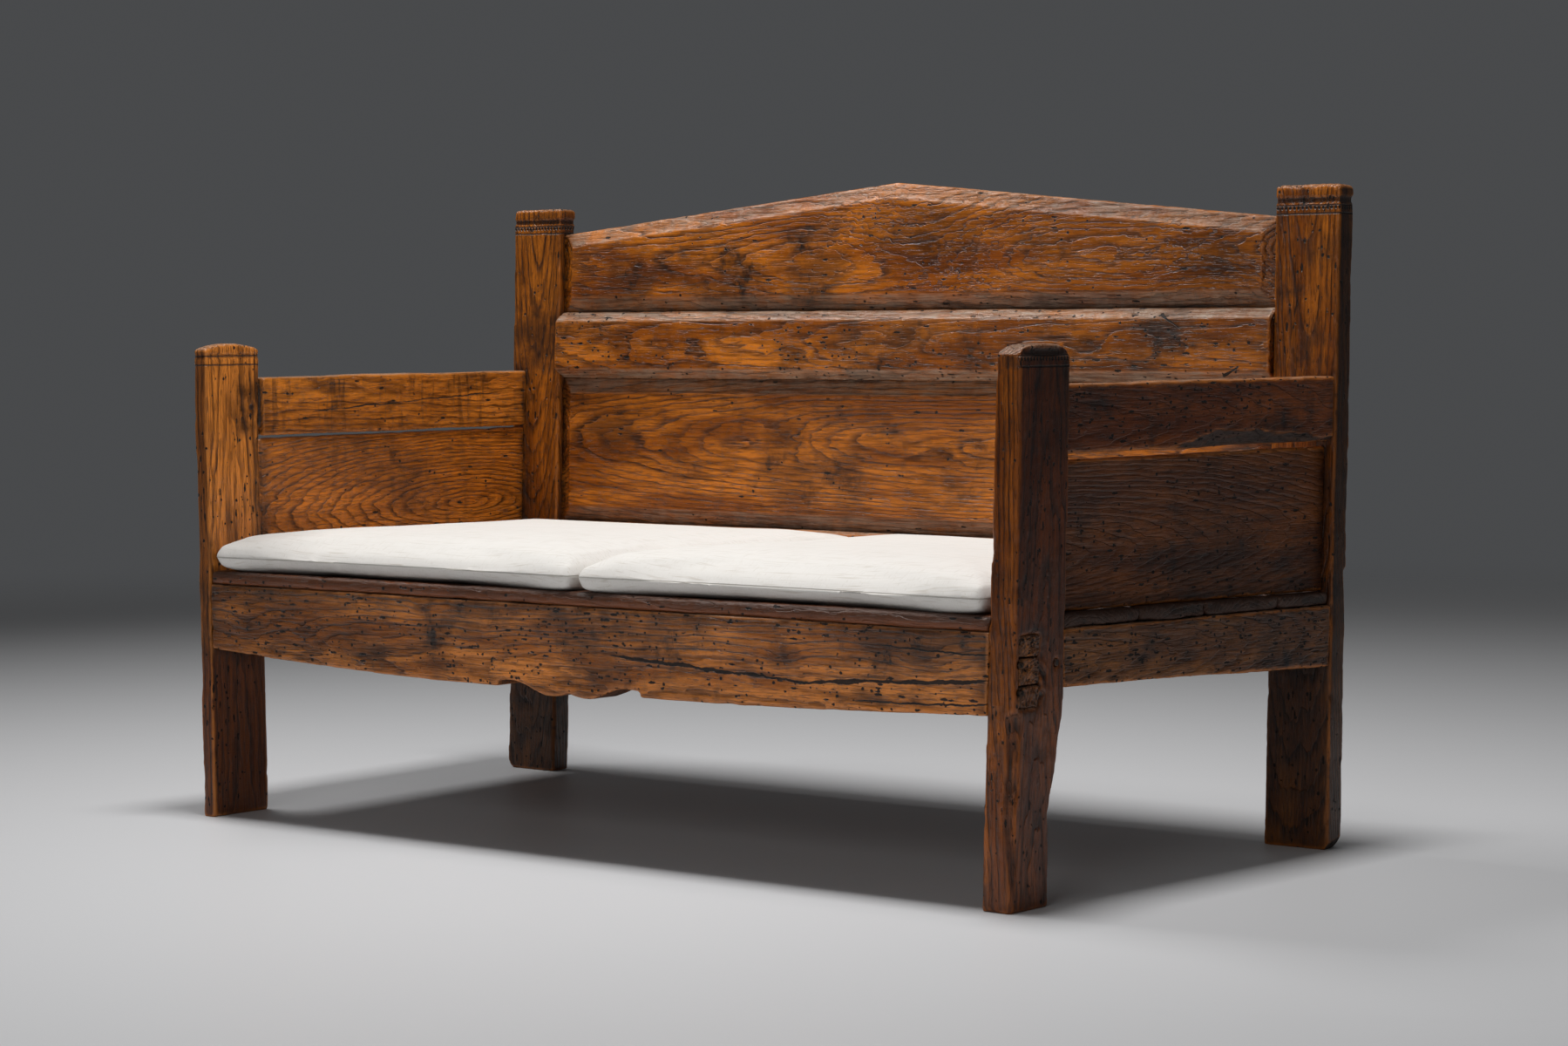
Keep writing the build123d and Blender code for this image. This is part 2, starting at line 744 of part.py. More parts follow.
# Side panels, standing on the seat boards
panel_base = seat_height - overlap
with BuildPart() as side_panel:
    side_panel_slab(overlap, panel_base, side_panel_top, side_panel_thickness)
    split(bisect_by=post_rear_plane, keep=Keep.TOP)
    split(bisect_by=back_plane, keep=Keep.TOP)
    side_panel_slab(side_tongue_depth, panel_base, side_panel_top, side_tongue_thickness)
    split(bisect_by=seat_plane, keep=Keep.TOP)
save(side_panel.part, "side_panel_right")
save(mirrored(side_panel.part), "side_panel_left")


# Seat boards, their ends flush with the side rails
def seat_board(start, end, front_edge):
    """One seat board; the front edge gives the half lengths of the tongue between the front posts."""
    with BuildPart() as board:
        with BuildSketch(seat_plane):
            Polygon(
                (-board_end(start), start),
                (board_end(start), start),
                (board_end(end), end),
                (-board_end(end), end),
                align=None,
            )
            if front_edge:
                left, right = front_edge
                Polygon((-left, 0), (right, 0), (right, start), (-left, start), align=None)
        extrude(amount=-board_thickness)
        if front_edge:
            nosing = board.faces().sort_by(Axis.Y)[0].edges().sort_by(Axis.Z)[-1]
            fillet(nosing, board_nosing)
        nails(pin_clearance, Mode.SUBTRACT)
    return board.part


between_posts = [
    inner_x(front_rail_top, foot) - joint_clearance for foot in (left_foot_thickness, right_foot_thickness)
]
for name, (start, end) in board_spans.items():
    save(seat_board(start, end, between_posts if name == "seat_board_front" else None), name)

with BuildPart() as bearer:
    low = (-bearer_width / 2, bearer_bottom)
    high = (bearer_width / 2, seat_height)
    block(front_plane, low, high, -depth, -front_rail_thickness)
    split(bisect_by=board_underside, keep=Keep.BOTTOM)
    split(bisect_by=back_plane.offset(back_rail_proud), keep=Keep.TOP)
    bearer_tenons()
save(bearer.part, "seat_bearer")

# Pegs, pins, wedges and nails
with BuildPart() as front_pins:
    for side, lean in post_leans.items():
        outside = outer_x(kerf_middle, lean)
        start = side * (outside - front_pin_length)
        rods(Plane.YZ, front_pin_points, front_pin_diameter, start, side * (outside + front_pin_proud))
save(front_pins.part, "front_rail_pins")

with BuildPart() as side_pegs:
    for side, lean in post_leans.items():
        side_peg(side_peg_height, side * side_peg_inside, side * outer_x(side_peg_height, lean), peg_diameter)
save(side_pegs.part, "side_rail_pegs")

with BuildPart() as arm_pegs:
    side_peg(arm_peg_height, arm_peg_inside_right, arm_peg_inside_right + side_peg_length, peg_diameter)
    side_peg(arm_peg_height, -arm_peg_inside, -arm_peg_inside - side_peg_length, peg_diameter)
save(arm_pegs.part, "arm_rail_pegs")

for name, (low, high) in zip(("rear_rail_pegs", "mid_rail_pegs"), back_joints):
    with BuildPart() as pegs:
        back_pegs(low, high)
    save(pegs.part, name)

with BuildPart() as wedges:
    tenon_wedge(side_tenon_bottom, side_tenon_top, side_rail_thickness)
    tenon_wedge(arm_tenon_bottom, arm_tenon_top, arm_rail_thickness)
    mirror(about=Plane.YZ)
save(wedges.part, "tenon_wedges")

with BuildPart() as seat_nails:
    nails()
save(seat_nails.part, "seat_nails")


# Pads: flat below, fullest at the seam, crowned above, their sides drawn in between the corners
def pad(left, right):
    """One loose pad between two sides, lofted through sections from its base to its crown."""
    front = pad_front_gap
    rear = board_run - board_housing - pad_rear_gap
    sections = (
        (0, pad_edge_inset, pad_draw_in),
        (pad_seam_height, 0, pad_draw_in),
        (pad_shoulder_height, pad_edge_inset, pad_draw_in),
        (pad_crown_edge_height, pad_crown_edge_inset, pad_crown_draw_in),
        (pad_crown_slope_height, pad_crown_slope_inset, pad_crown_draw_in),
        (pad_thickness, pad_crown_inset, pad_crown_draw_in),
    )
    with BuildPart() as cushion:
        for height, inset, draw_in in sections:
            x0, x1 = left + inset, right - inset
            y0, y1 = front + inset, rear - inset
            x_mid, y_mid = (x0 + x1) / 2, (y0 + y1) / 2
            with BuildSketch(seat_plane.offset(pad_rest + height)):
                with BuildLine():
                    ThreePointArc((x0, y0), (x_mid, y0 + draw_in), (x1, y0))
                    ThreePointArc((x1, y0), (x1 - draw_in, y_mid), (x1, y1))
                    ThreePointArc((x1, y1), (x_mid, y1 - draw_in), (x0, y1))
                    ThreePointArc((x0, y1), (x0 + draw_in, y_mid), (x0, y0))
                make_face()
        loft(ruled=True)
    return cushion.part


# The pads fit the narrower end of the seat: between the front posts, or between the panels at the back
rear_room = side_x(back_face_y(seat_height)) - (side_panel_recess + side_panel_thickness) / cos(flare)
pad_left = pad_side_gap - min(inner_x(seat_height, left_foot_thickness), rear_room)
pad_right = min(inner_x(seat_height, right_foot_thickness), rear_room) - pad_side_gap
save(pad(pad_left, pad_split - pad_between / 2), "cushion_left")
save(pad(pad_split + pad_between / 2, pad_right), "cushion_right")
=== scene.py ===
"""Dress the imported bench: old waxed wood with its grain, wear and worm holes, and two linen pads.

Laid out as an add-on: settings, one operator for each group of pieces, one for the stage, and a panel.
main() runs the operators in order. Metres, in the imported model's frame: X runs along the bench, +Y to
its back and +Z up.
"""

import itertools
import math

import bmesh
import bpy
import numpy as np
from bpy.props import FloatProperty, FloatVectorProperty, IntProperty, PointerProperty
from mathutils import Matrix, Vector
from mathutils.bvhtree import BVHTree


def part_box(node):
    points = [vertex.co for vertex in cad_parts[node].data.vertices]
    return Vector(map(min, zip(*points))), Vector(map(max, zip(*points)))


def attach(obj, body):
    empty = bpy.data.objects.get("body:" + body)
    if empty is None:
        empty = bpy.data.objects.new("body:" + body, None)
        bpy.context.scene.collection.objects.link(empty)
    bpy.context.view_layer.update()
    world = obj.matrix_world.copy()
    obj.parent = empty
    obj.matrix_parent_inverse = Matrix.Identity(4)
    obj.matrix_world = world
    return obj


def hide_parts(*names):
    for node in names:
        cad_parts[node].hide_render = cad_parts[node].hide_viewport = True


bl_info = {
    "name": "Old Plank Bench",
    "version": (1, 0, 0),
    "blender": (4, 5, 0),
    "location": "View3D > Sidebar > Bench",
    "description": "Builds the worn wood and the linen pads of an old panelled bench",
    "category": "Object",
}

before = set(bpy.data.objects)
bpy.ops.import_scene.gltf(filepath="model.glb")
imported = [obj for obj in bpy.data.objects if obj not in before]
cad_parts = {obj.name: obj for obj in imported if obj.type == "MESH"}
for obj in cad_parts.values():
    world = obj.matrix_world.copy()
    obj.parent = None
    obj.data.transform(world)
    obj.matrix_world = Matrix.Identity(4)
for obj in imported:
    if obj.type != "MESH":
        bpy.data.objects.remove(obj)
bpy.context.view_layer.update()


# Settings
class BenchWood(bpy.types.PropertyGroup):
    """Colours and grain of the old waxed wood."""

    light: FloatVectorProperty(
        name="Light wood",
        description="Palest late wood",
        subtype="COLOR",
        min=0.0,
        max=1.0,
        default=(0.90, 0.275, 0.026),
    )
    body: FloatVectorProperty(
        name="Body wood",
        description="Usual colour of the wood",
        subtype="COLOR",
        min=0.0,
        max=1.0,
        default=(0.42, 0.110, 0.008),
    )
    dark: FloatVectorProperty(
        name="Dark wood",
        description="Pores of the early wood",
        subtype="COLOR",
        min=0.0,
        max=1.0,
        default=(0.032, 0.009, 0.003),
    )
    # Grime: old wax and dirt in stains, and painted shade in hollows and next to joints.
    grime_and_shade: FloatVectorProperty(
        name="Grime And Shade",
        description="Old wax and dirt in hollows and stains",
        subtype="COLOR",
        min=0.0,
        max=1.0,
        default=(0.022, 0.010, 0.006),
    )
    ring_width: FloatProperty(
        name="Ring width",
        description="Usual growth of one year",
        unit="LENGTH",
        min=0.001,
        default=0.0068,
    )


class BenchWear(bpy.types.PropertyGroup):
    """How finely the wood is modelled and how worn it is."""

    fine: FloatProperty(
        name="Fine voxel",
        description="Mesh size of the pieces that show most",
        unit="LENGTH",
        min=0.002,
        default=0.0033,
    )
    coarse: FloatProperty(
        name="Coarse voxel",
        description="Mesh size of the rear rail, the seat boards and the bearer",
        unit="LENGTH",
        min=0.002,
        default=0.005,
    )
    small: FloatProperty(
        name="Small voxel",
        description="Mesh size of pegs, pins, wedges, nails and tenon ends",
        unit="LENGTH",
        min=0.0005,
        default=0.0013,
    )
    rounding: IntProperty(
        name="Rounding",
        description="How often the arrises of the frame are evened where hands and feet rub",
        min=0,
        default=6,
    )
    panel_rounding: IntProperty(
        name="Panel rounding",
        description="How often the arrises of the panels are evened",
        min=0,
        default=3,
    )
    wander: FloatProperty(
        name="Wander",
        description="How far a hewn face strays from flat",
        unit="LENGTH",
        min=0.0,
        default=0.0014,
    )


class BenchPads(bpy.types.PropertyGroup):
    """The two loose pads."""

    linen: FloatVectorProperty(
        name="Linen",
        description="Off-white thread",
        subtype="COLOR",
        min=0.0,
        max=1.0,
        default=(0.83, 0.80, 0.755),
    )
    voxel: FloatProperty(
        name="Voxel",
        description="Mesh size of a pad while it is stuffed",
        unit="LENGTH",
        min=0.003,
        default=0.0085,
    )
    pressure: FloatProperty(
        name="Pressure",
        description="How hard the filling swells the cover",
        min=0.0,
        default=4.0,
    )
    swell: FloatProperty(
        name="Swell",
        description="The most that the cover may move while it is stuffed",
        unit="LENGTH",
        min=0.0,
        default=0.004,
    )
    seam_height: FloatProperty(
        name="Seam height",
        description="Height of the seam above the boards",
        unit="LENGTH",
        min=0.0,
        default=0.0243,
    )


class BenchStage(bpy.types.PropertyGroup):
    """Floor, backdrop, lamps and camera."""

    floor: FloatVectorProperty(
        name="Floor",
        description="Plain pale floor",
        subtype="COLOR",
        min=0.0,
        max=1.0,
        default=(0.75, 0.75, 0.76),
    )
    backdrop: FloatVectorProperty(
        name="Backdrop",
        description="Plain grey behind the floor",
        subtype="COLOR",
        min=0.0,
        max=1.0,
        default=(0.066, 0.068, 0.071),
    )
    ambient: FloatProperty(
        name="Ambient",
        description="Even light from all sides",
        min=0.0,
        default=0.055,
    )
    overhead: FloatProperty(
        name="Overhead lamp",
        description="Power of the soft lamp above the bench, in watts",
        min=0.0,
        default=42.0,
    )
    glint: FloatProperty(
        name="Glint lamp",
        description="Power of the lamp that shines on the chamfers of the back, in watts",
        min=0.0,
        default=34.0,
    )
    fill: FloatProperty(
        name="Fill lamp",
        description="Power of the soft lamp in front, in watts",
        min=0.0,
        default=18.0,
    )


# Noise and moves on a mesh's points
def lattice(cell, seed):
    """A repeatable random value from 0 to 1 for each whole-number cell."""
    mixed = cell[:, 0] * 73856093 ^ cell[:, 1] * 19349663 ^ cell[:, 2] * 83492791 ^ seed * 49979687
    mixed = (mixed ^ (mixed >> 13)) * 1274126177 & 0xFFFFFFFF
    return ((mixed ^ (mixed >> 16)) & 0xFFFF) / 0xFFFF


def noise(points, size, seed):
    """Smooth noise from -1 to 1 with bumps of a given size, one number or one for each axis."""
    scaled = points / np.asarray(size)
    low = np.floor(scaled).astype(np.int64)
    part = scaled - low
    part = part * part * (3 - 2 * part)
    total = np.zeros(len(points))
    for corner in itertools.product((0, 1), repeat=3):
        weight = np.prod(np.where(corner, part, 1 - part), axis=1)
        total += weight * lattice(low + np.array(corner), seed)
    return 2 * total - 1


class Sculpt:
    """The points of a mesh, with the moves that wear them."""

    def __init__(self, mesh):
        self.mesh = mesh
        self.points = np.empty(len(mesh.vertices) * 3)
        mesh.vertices.foreach_get("co", self.points)
        self.points = self.points.reshape(-1, 3)
        ends = np.empty(len(mesh.edges) * 2, dtype=np.int32)
        mesh.edges.foreach_get("vertices", ends)
        self.first, self.second = ends.reshape(-1, 2).T
        self.degree = np.bincount(ends, minlength=len(self.points))
        self.raw_wood_and_shadow = np.zeros(len(self.points))

    def evened(self, values, rounds, share=0.5):
        """Columns of values after being drawn towards their neighbours' mean a number of times."""
        count = len(values)
        for _ in range(rounds):
            total = np.empty_like(values)
            for column in range(values.shape[1]):
                row = values[:, column]
                total[:, column] = np.bincount(self.first, row[self.second], count)
                total[:, column] += np.bincount(self.second, row[self.first], count)
            values = values + share * (total / self.degree[:, None] - values)
        return values

    def write(self):
        """Put the points back into the mesh."""
        self.mesh.vertices.foreach_set("co", self.points.astype(np.float32).ravel())
        self.mesh.update()

    def normals(self):
        """Normals of the points as they are now."""
        self.write()
        found = np.empty(len(self.points) * 3, dtype=np.float32)
        self.mesh.vertex_normals.foreach_get("vector", found)
        return found.reshape(-1, 3).astype(float)

    def relief(self, rounds):
        """How far each point stands out of its evened neighbourhood: above 0 on arrises, below in hollows."""
        return np.einsum("ij,ij->i", self.points - self.evened(self.points, rounds), self.normals())

    def shave(self, point, normal, depth=0.0):
        """Plane off what stands outside a plane, sunk by a depth that may differ from point to point."""
        normal = np.array(normal, dtype=float)
        normal /= np.linalg.norm(normal)
        cut = np.maximum((self.points - np.array(point)) @ normal + depth, 0)
        self.points -= np.outer(cut, normal)
        self.raw_wood_and_shadow = np.maximum(self.raw_wood_and_shadow, np.clip(cut / 0.003, 0, 1))

    def bruise(self, centre, radii, depth, seed):
        """Break the surface around a place."""
        away = np.linalg.norm((self.points - np.array(centre)) / np.array(radii), axis=1)
        share = np.clip(1.3 * (1 - away), 0, 1) * np.clip(0.6 + noise(self.points, 0.007, seed), 0, 1)
        self.points -= self.normals() * (depth * share)[:, None]
        self.raw_wood_and_shadow = np.maximum(self.raw_wood_and_shadow, share)

    def keep(self, name, values):
        """Store one value for each point as an attribute for the finish to read."""
        attribute = self.mesh.attributes.new(name, "FLOAT", "POINT")
        attribute.data.foreach_set("value", values.astype(np.float32))


# Objects
def merged_copy(node):
    """A bmesh of a CAD node with its loose triangles merged."""
    solid = bmesh.new()
    solid.from_mesh(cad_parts[node].data)
    bmesh.ops.remove_doubles(solid, verts=solid.verts, dist=1e-5)
    return solid


def linked_object(name, solid):
    """A new object in the scene from a bmesh, which is used up."""
    mesh = bpy.data.meshes.new(name)
    solid.to_mesh(mesh)
    solid.free()
    made = bpy.data.objects.new(name, mesh)
    bpy.context.scene.collection.objects.link(made)
    return made


def apply_modifiers(piece):
    """Turn a piece's modifiers into its mesh."""
    bpy.context.view_layer.update()
    shaped = bpy.data.meshes.new_from_object(piece.evaluated_get(bpy.context.evaluated_depsgraph_get()))
    piece.modifiers.clear()
    old = piece.data
    piece.data = shaped
    bpy.data.meshes.remove(old)


def voxels(piece, size):
    """Remesh a piece evenly."""
    remesh = piece.modifiers.new("Even mesh", "REMESH")
    remesh.mode = "VOXEL"
    remesh.voxel_size = size
    apply_modifiers(piece)
    piece.data.shade_smooth()


def finish_piece(piece, node, material):
    """Let a finished piece stand for its CAD node, with its material."""
    piece.data.materials.clear()
    piece.data.materials.append(material)
    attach(piece, "root")
    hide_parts(node)


# Shader nodes
class Graph:
    """Adds nodes to a material or a node group and joins them."""

    def __init__(self, tree):
        self.tree = tree

    def feed(self, socket, value):
        """Link a socket to another, or set its value."""
        if isinstance(value, bpy.types.NodeSocket):
            self.tree.links.new(value, socket)
        else:
            socket.default_value = value

    def node(self, kind, inputs=(), **settings):
        """A new node with its settings and inputs."""
        made = self.tree.nodes.new(kind)
        for name, value in settings.items():
            setattr(made, name, value)
        for socket, value in dict(inputs).items():
            self.feed(made.inputs[socket], value)
        return made

    def math(self, operation, *values, clamp=False):
        """One sum."""
        made = self.node("ShaderNodeMath", enumerate(values), operation=operation, use_clamp=clamp)
        return made.outputs[0]

    def vector(self, operation, first, second):
        """One sum of two vectors."""
        return self.node("ShaderNodeVectorMath", {0: first, 1: second}, operation=operation).outputs[0]

    def parts(self, vector):
        """The X, Y and Z of a vector."""
        return self.node("ShaderNodeSeparateXYZ", {0: vector}).outputs

    def join(self, x, y, z):
        """A vector from its X, Y and Z."""
        return self.node("ShaderNodeCombineXYZ", {0: x, 1: y, 2: z}).outputs[0]

    def noise(self, vector, per_metre, detail=2.0, roughness=0.5):
        """Noise with so many bumps to the metre along each axis."""
        scaled = self.vector("MULTIPLY", vector, per_metre)
        inputs = {"Vector": scaled, "Scale": 1.0, "Detail": detail, "Roughness": roughness}
        return self.node("ShaderNodeTexNoise", inputs).outputs[0]

    def step(self, value, low, high, start=0.0, end=1.0):
        """Ease from one value to another while the input goes from low to high."""
        inputs = {"Value": value, "From Min": low, "From Max": high, "To Min": start, "To Max": end}
        return self.node("ShaderNodeMapRange", inputs, interpolation_type="SMOOTHSTEP").outputs[0]

    def mix(self, factor, first, second, blend="MIX"):
        """Two colours mixed."""
        inputs = {0: factor, 6: first, 7: second}
        return self.node("ShaderNodeMix", inputs, data_type="RGBA", blend_type=blend).outputs[2]

    def group(self, name, inputs):
        """Place a shared node group, which is built on its first use."""
        tree = bpy.data.node_groups.get(name) or GROUP_MAKERS[name]()
        return self.node("ShaderNodeGroup", inputs, node_tree=tree).outputs

    def shifted(self, vector, seed):
        """A vector moved by a seed, so that each piece gets its own pattern."""
        return self.vector("ADD", vector, self.join(seed, seed, seed))

    def position(self):
        """Place of the surface in the piece's own frame."""
        return self.node("ShaderNodeTexCoord").outputs["Object"]

    def attribute(self, name):
        """A value that was stored on the points of the mesh."""
        return self.node("ShaderNodeAttribute", attribute_name=name).outputs["Fac"]

    def most(self, *values):
        """The largest of several values."""
        largest = values[0]
        for value in values[1:]:
            largest = self.math("MAXIMUM", largest, value)
        return largest


def node_group(name, inputs, outputs):
    """A new node group with its sockets: its graph, what it is given and what it puts out."""
    tree = bpy.data.node_groups.new(name, "ShaderNodeTree")
    for label, kind, default in inputs:
        socket = tree.interface.new_socket(label, in_out="INPUT", socket_type=f"NodeSocket{kind}")
        socket.default_value = default
    for label, kind in outputs:
        tree.interface.new_socket(label, in_out="OUTPUT", socket_type=f"NodeSocket{kind}")
    given = tree.nodes.new("NodeGroupInput").outputs
    result = tree.nodes.new("NodeGroupOutput").inputs
    return Graph(tree), given, result


def rgba(colour):
    """A colour with its alpha."""
    return (*colour, 1.0)


def new_material(name):
    """A new material, its graph and its shader."""
    material = bpy.data.materials.new(name)
    material.use_nodes = True
    return material, Graph(material.node_tree), material.node_tree.nodes["Principled BSDF"]


def growth_rings_group():
    """Growth rings of a plank: X of the vector runs along the grain, Y across the face and Z through it."""
    graph, given, result = node_group(
        "Growth Rings",
        (
            ("Grain", "Vector", (0.0, 0.0, 0.0)),
            ("Seed", "Float", 0.0),
            ("Pith Along", "Float", 0.0),
            ("Pith Across", "Float", 0.0),
            ("Pith Through", "Float", 0.0),
            ("Tilt", "Float", 0.0),
            ("Ring Width", "Float", 0.005),
            ("Sway", "Float", 0.03),
            ("Bend", "Float", 0.0),
        ),
        (("Line", "Float"), ("Fibre", "Float"), ("Tone", "Float")),
    )
    seeded = graph.shifted(given["Grain"], given["Seed"])
    along, across, through = graph.parts(given["Grain"])
    along = graph.math("SUBTRACT", along, given["Pith Along"])
    across = graph.math("SUBTRACT", across, given["Pith Across"])
    through = graph.math("SUBTRACT", through, given["Pith Through"])
    through = graph.math("MULTIPLY_ADD", along, given["Tilt"], through)
    radius = graph.math("ADD", graph.math("POWER", across, 2.0), graph.math("POWER", through, 2.0))
    radius = graph.math("SQRT", radius)
    slow = graph.math("SUBTRACT", graph.noise(seeded, (1.6, 5.0, 5.0), 1.5), 0.5)
    quick = graph.math("SUBTRACT", graph.noise(seeded, (11.0, 52.0, 52.0), 2.0), 0.5)
    ragged = graph.math("SUBTRACT", graph.noise(seeded, (40.0, 190.0, 190.0), 2.0), 0.5)
    radius = graph.math("MULTIPLY_ADD", slow, given["Sway"], radius)
    radius = graph.math("MULTIPLY_ADD", quick, 0.0085, radius)
    radius = graph.math("MULTIPLY_ADD", ragged, 0.0012, radius)
    radius = graph.math("ADD", radius, given["Bend"])
    years = graph.math("DIVIDE", radius, given["Ring Width"])
    part = graph.math("FRACT", years)
    year = graph.math("FLOOR", years)
    late = graph.math("POWER", graph.step(part, 0.0, 0.52, 1.0, 0.0), 1.3)
    line = graph.math("MAXIMUM", late, graph.step(part, 0.93, 1.0))
    chance = graph.node("ShaderNodeTexWhiteNoise", {"W": year}, noise_dimensions="1D").outputs[0]
    line = graph.math("MULTIPLY", line, graph.step(chance, 0.0, 1.0, 0.6, 1.0))
    pores = graph.noise(seeded, (22.0, 330.0, 330.0), 2.0, 0.6)
    broken = graph.step(pores, 0.34, 0.60, 0.45, 1.0)
    dashes = graph.step(graph.noise(seeded, (34.0, 460.0, 460.0), 2.0, 0.6), 0.57, 0.68, 0.0, 0.6)
    graph.feed(result["Line"], graph.math("MAXIMUM", graph.math("MULTIPLY", line, broken), dashes))
    graph.feed(result["Fibre"], graph.noise(seeded, (11.0, 210.0, 210.0), 4.0, 0.7))
    graph.feed(result["Tone"], graph.noise(seeded, (3.0, 17.0, 17.0), 4.0, 0.62))
    return graph.tree


def knot_group():
    """One knot: how it bends the rings around it, and its dark heart."""
    graph, given, result = node_group(
        "Knot",
        (
            ("Grain", "Vector", (0.0, 0.0, 0.0)),
            ("Along", "Float", 0.0),
            ("Across", "Float", 0.0),
            ("Size", "Float", 0.02),
        ),
        (("Bend", "Float"), ("Heart", "Float")),
    )
    along, across = graph.parts(given["Grain"])[:2]
    warp = graph.noise(given["Grain"], (45.0, 90.0, 90.0), 2.0)
    warp = graph.math("SUBTRACT", warp, 0.5)
    along = graph.math("DIVIDE", graph.math("SUBTRACT", along, given["Along"]), given["Size"])
    across = graph.math("DIVIDE", graph.math("SUBTRACT", across, given["Across"]), given["Size"])
    along = graph.math("MULTIPLY_ADD", along, 0.55, warp)
    across = graph.math("MULTIPLY_ADD", warp, -0.7, across)
    square = graph.math("ADD", graph.math("POWER", along, 2.0), graph.math("POWER", across, 2.0))
    hill = graph.math("EXPONENT", graph.math("MULTIPLY", square, -0.45))
    graph.feed(result["Bend"], graph.math("MULTIPLY", hill, graph.math("MULTIPLY", given["Size"], 0.5)))
    core = graph.step(square, 0.16, 0.03)
    halo = graph.step(square, 1.8, 0.0, 0.0, 0.65)
    graph.feed(result["Heart"], graph.math("MAXIMUM", core, halo))
    return graph.tree


def worm_holes_group():
    """Flight holes and short galleries of woodworm, in clusters."""
    graph, given, result = node_group(
        "Worm Holes",
        (("Grain", "Vector", (0.0, 0.0, 0.0)), ("Seed", "Float", 0.0), ("Amount", "Float", 0.3)),
        (("Hole", "Float"),),
    )
    seeded = graph.shifted(given["Grain"], given["Seed"])
    cluster = graph.noise(seeded, (5.0, 11.0, 11.0), 2.0)
    amount = graph.math("MULTIPLY", graph.step(cluster, 0.32, 0.66, 0.15, 1.5), given["Amount"])
    found = []
    for stretch, scale, radius in (((0.85, 1.0, 1.0), 90.0, 0.19), ((0.28, 1.0, 1.0), 110.0, 0.19)):
        fine = {"Vector": seeded, "Scale": 260.0, "Detail": 1.0}
        wobble = graph.node("ShaderNodeTexNoise", fine).outputs[1]
        bent = graph.vector("ADD", seeded, graph.vector("MULTIPLY", wobble, (0.003, 0.003, 0.003)))
        cells = graph.node(
            "ShaderNodeTexVoronoi",
            {"Vector": graph.vector("MULTIPLY", bent, stretch), "Scale": scale},
        ).outputs
        chance = graph.parts(cells["Color"])
        wide = graph.step(chance[1], 0.0, 1.0, radius * 0.7, radius * 1.25)
        disc = graph.math("SUBTRACT", wide, cells["Distance"])
        disc = graph.step(disc, -0.02, 0.03)
        lives = graph.math("LESS_THAN", chance[0], amount)
        found.append(graph.math("MULTIPLY", disc, lives))
    graph.feed(result["Hole"], graph.most(*found))
    return graph.tree


def drying_cracks_group():
    """Thin drying cracks that run with the grain."""
    graph, given, result = node_group(
        "Drying Cracks",
        (("Grain", "Vector", (0.0, 0.0, 0.0)), ("Seed", "Float", 0.0), ("Amount", "Float", 0.3)),
        (("Crack", "Float"),),
    )
    seeded = graph.shifted(given["Grain"], given["Seed"])
    contour = graph.noise(seeded, (3.0, 34.0, 34.0), 3.0)
    away = graph.math("ABSOLUTE", graph.math("SUBTRACT", contour, 0.5))
    place = graph.noise(seeded, (4.0, 19.0, 7.0), 2.0)
    limit = graph.math("SUBTRACT", 0.78, graph.math("MULTIPLY", given["Amount"], 0.36))
    here = graph.math("SUBTRACT", place, limit)
    here = graph.step(here, 0.0, 0.09)
    width = graph.math("MULTIPLY", here, 0.013)
    graph.feed(result["Crack"], graph.math("MULTIPLY", graph.step(away, width, 0.0), here))
    return graph.tree


def split_group():
    """One long split between two places on a face."""
    graph, given, result = node_group(
        "Split",
        (
            ("Grain", "Vector", (0.0, 0.0, 0.0)),
            ("From Along", "Float", 0.0),
            ("From Across", "Float", 0.0),
            ("To Along", "Float", 1.0),
            ("To Across", "Float", 0.0),
            ("Width", "Float", 0.002),
        ),
        (("Split", "Float"),),
    )
    along, across = graph.parts(given["Grain"])[:2]
    run = graph.math("SUBTRACT", given["To Along"], given["From Along"])
    share = graph.math("DIVIDE", graph.math("SUBTRACT", along, given["From Along"]), run)
    climb = graph.math("SUBTRACT", given["To Across"], given["From Across"])
    middle = graph.math("MULTIPLY_ADD", climb, share, given["From Across"])
    wiggle = graph.noise(graph.join(along, 0.37, 0.0), (14.0, 1.0, 1.0), 4.0, 0.65)
    middle = graph.math("MULTIPLY_ADD", graph.math("SUBTRACT", wiggle, 0.5), 0.016, middle)
    away = graph.math("ABSOLUTE", graph.math("SUBTRACT", across, middle))
    ends = graph.math("MULTIPLY", graph.step(share, 0.0, 0.12), graph.step(share, 1.0, 0.92))
    swell = graph.step(graph.noise(graph.join(along, 0.71, 0.0), (22.0, 1.0, 1.0), 2.0), 0.2, 0.7, 0.35, 1.3)
    width = graph.math("MULTIPLY", graph.math("MULTIPLY", ends, swell), given["Width"])
    inside = graph.step(graph.math("SUBTRACT", away, width), 0.0, -0.0007)
    graph.feed(result["Split"], graph.math("MULTIPLY", inside, graph.math("GREATER_THAN", ends, 0.02)))
    return graph.tree


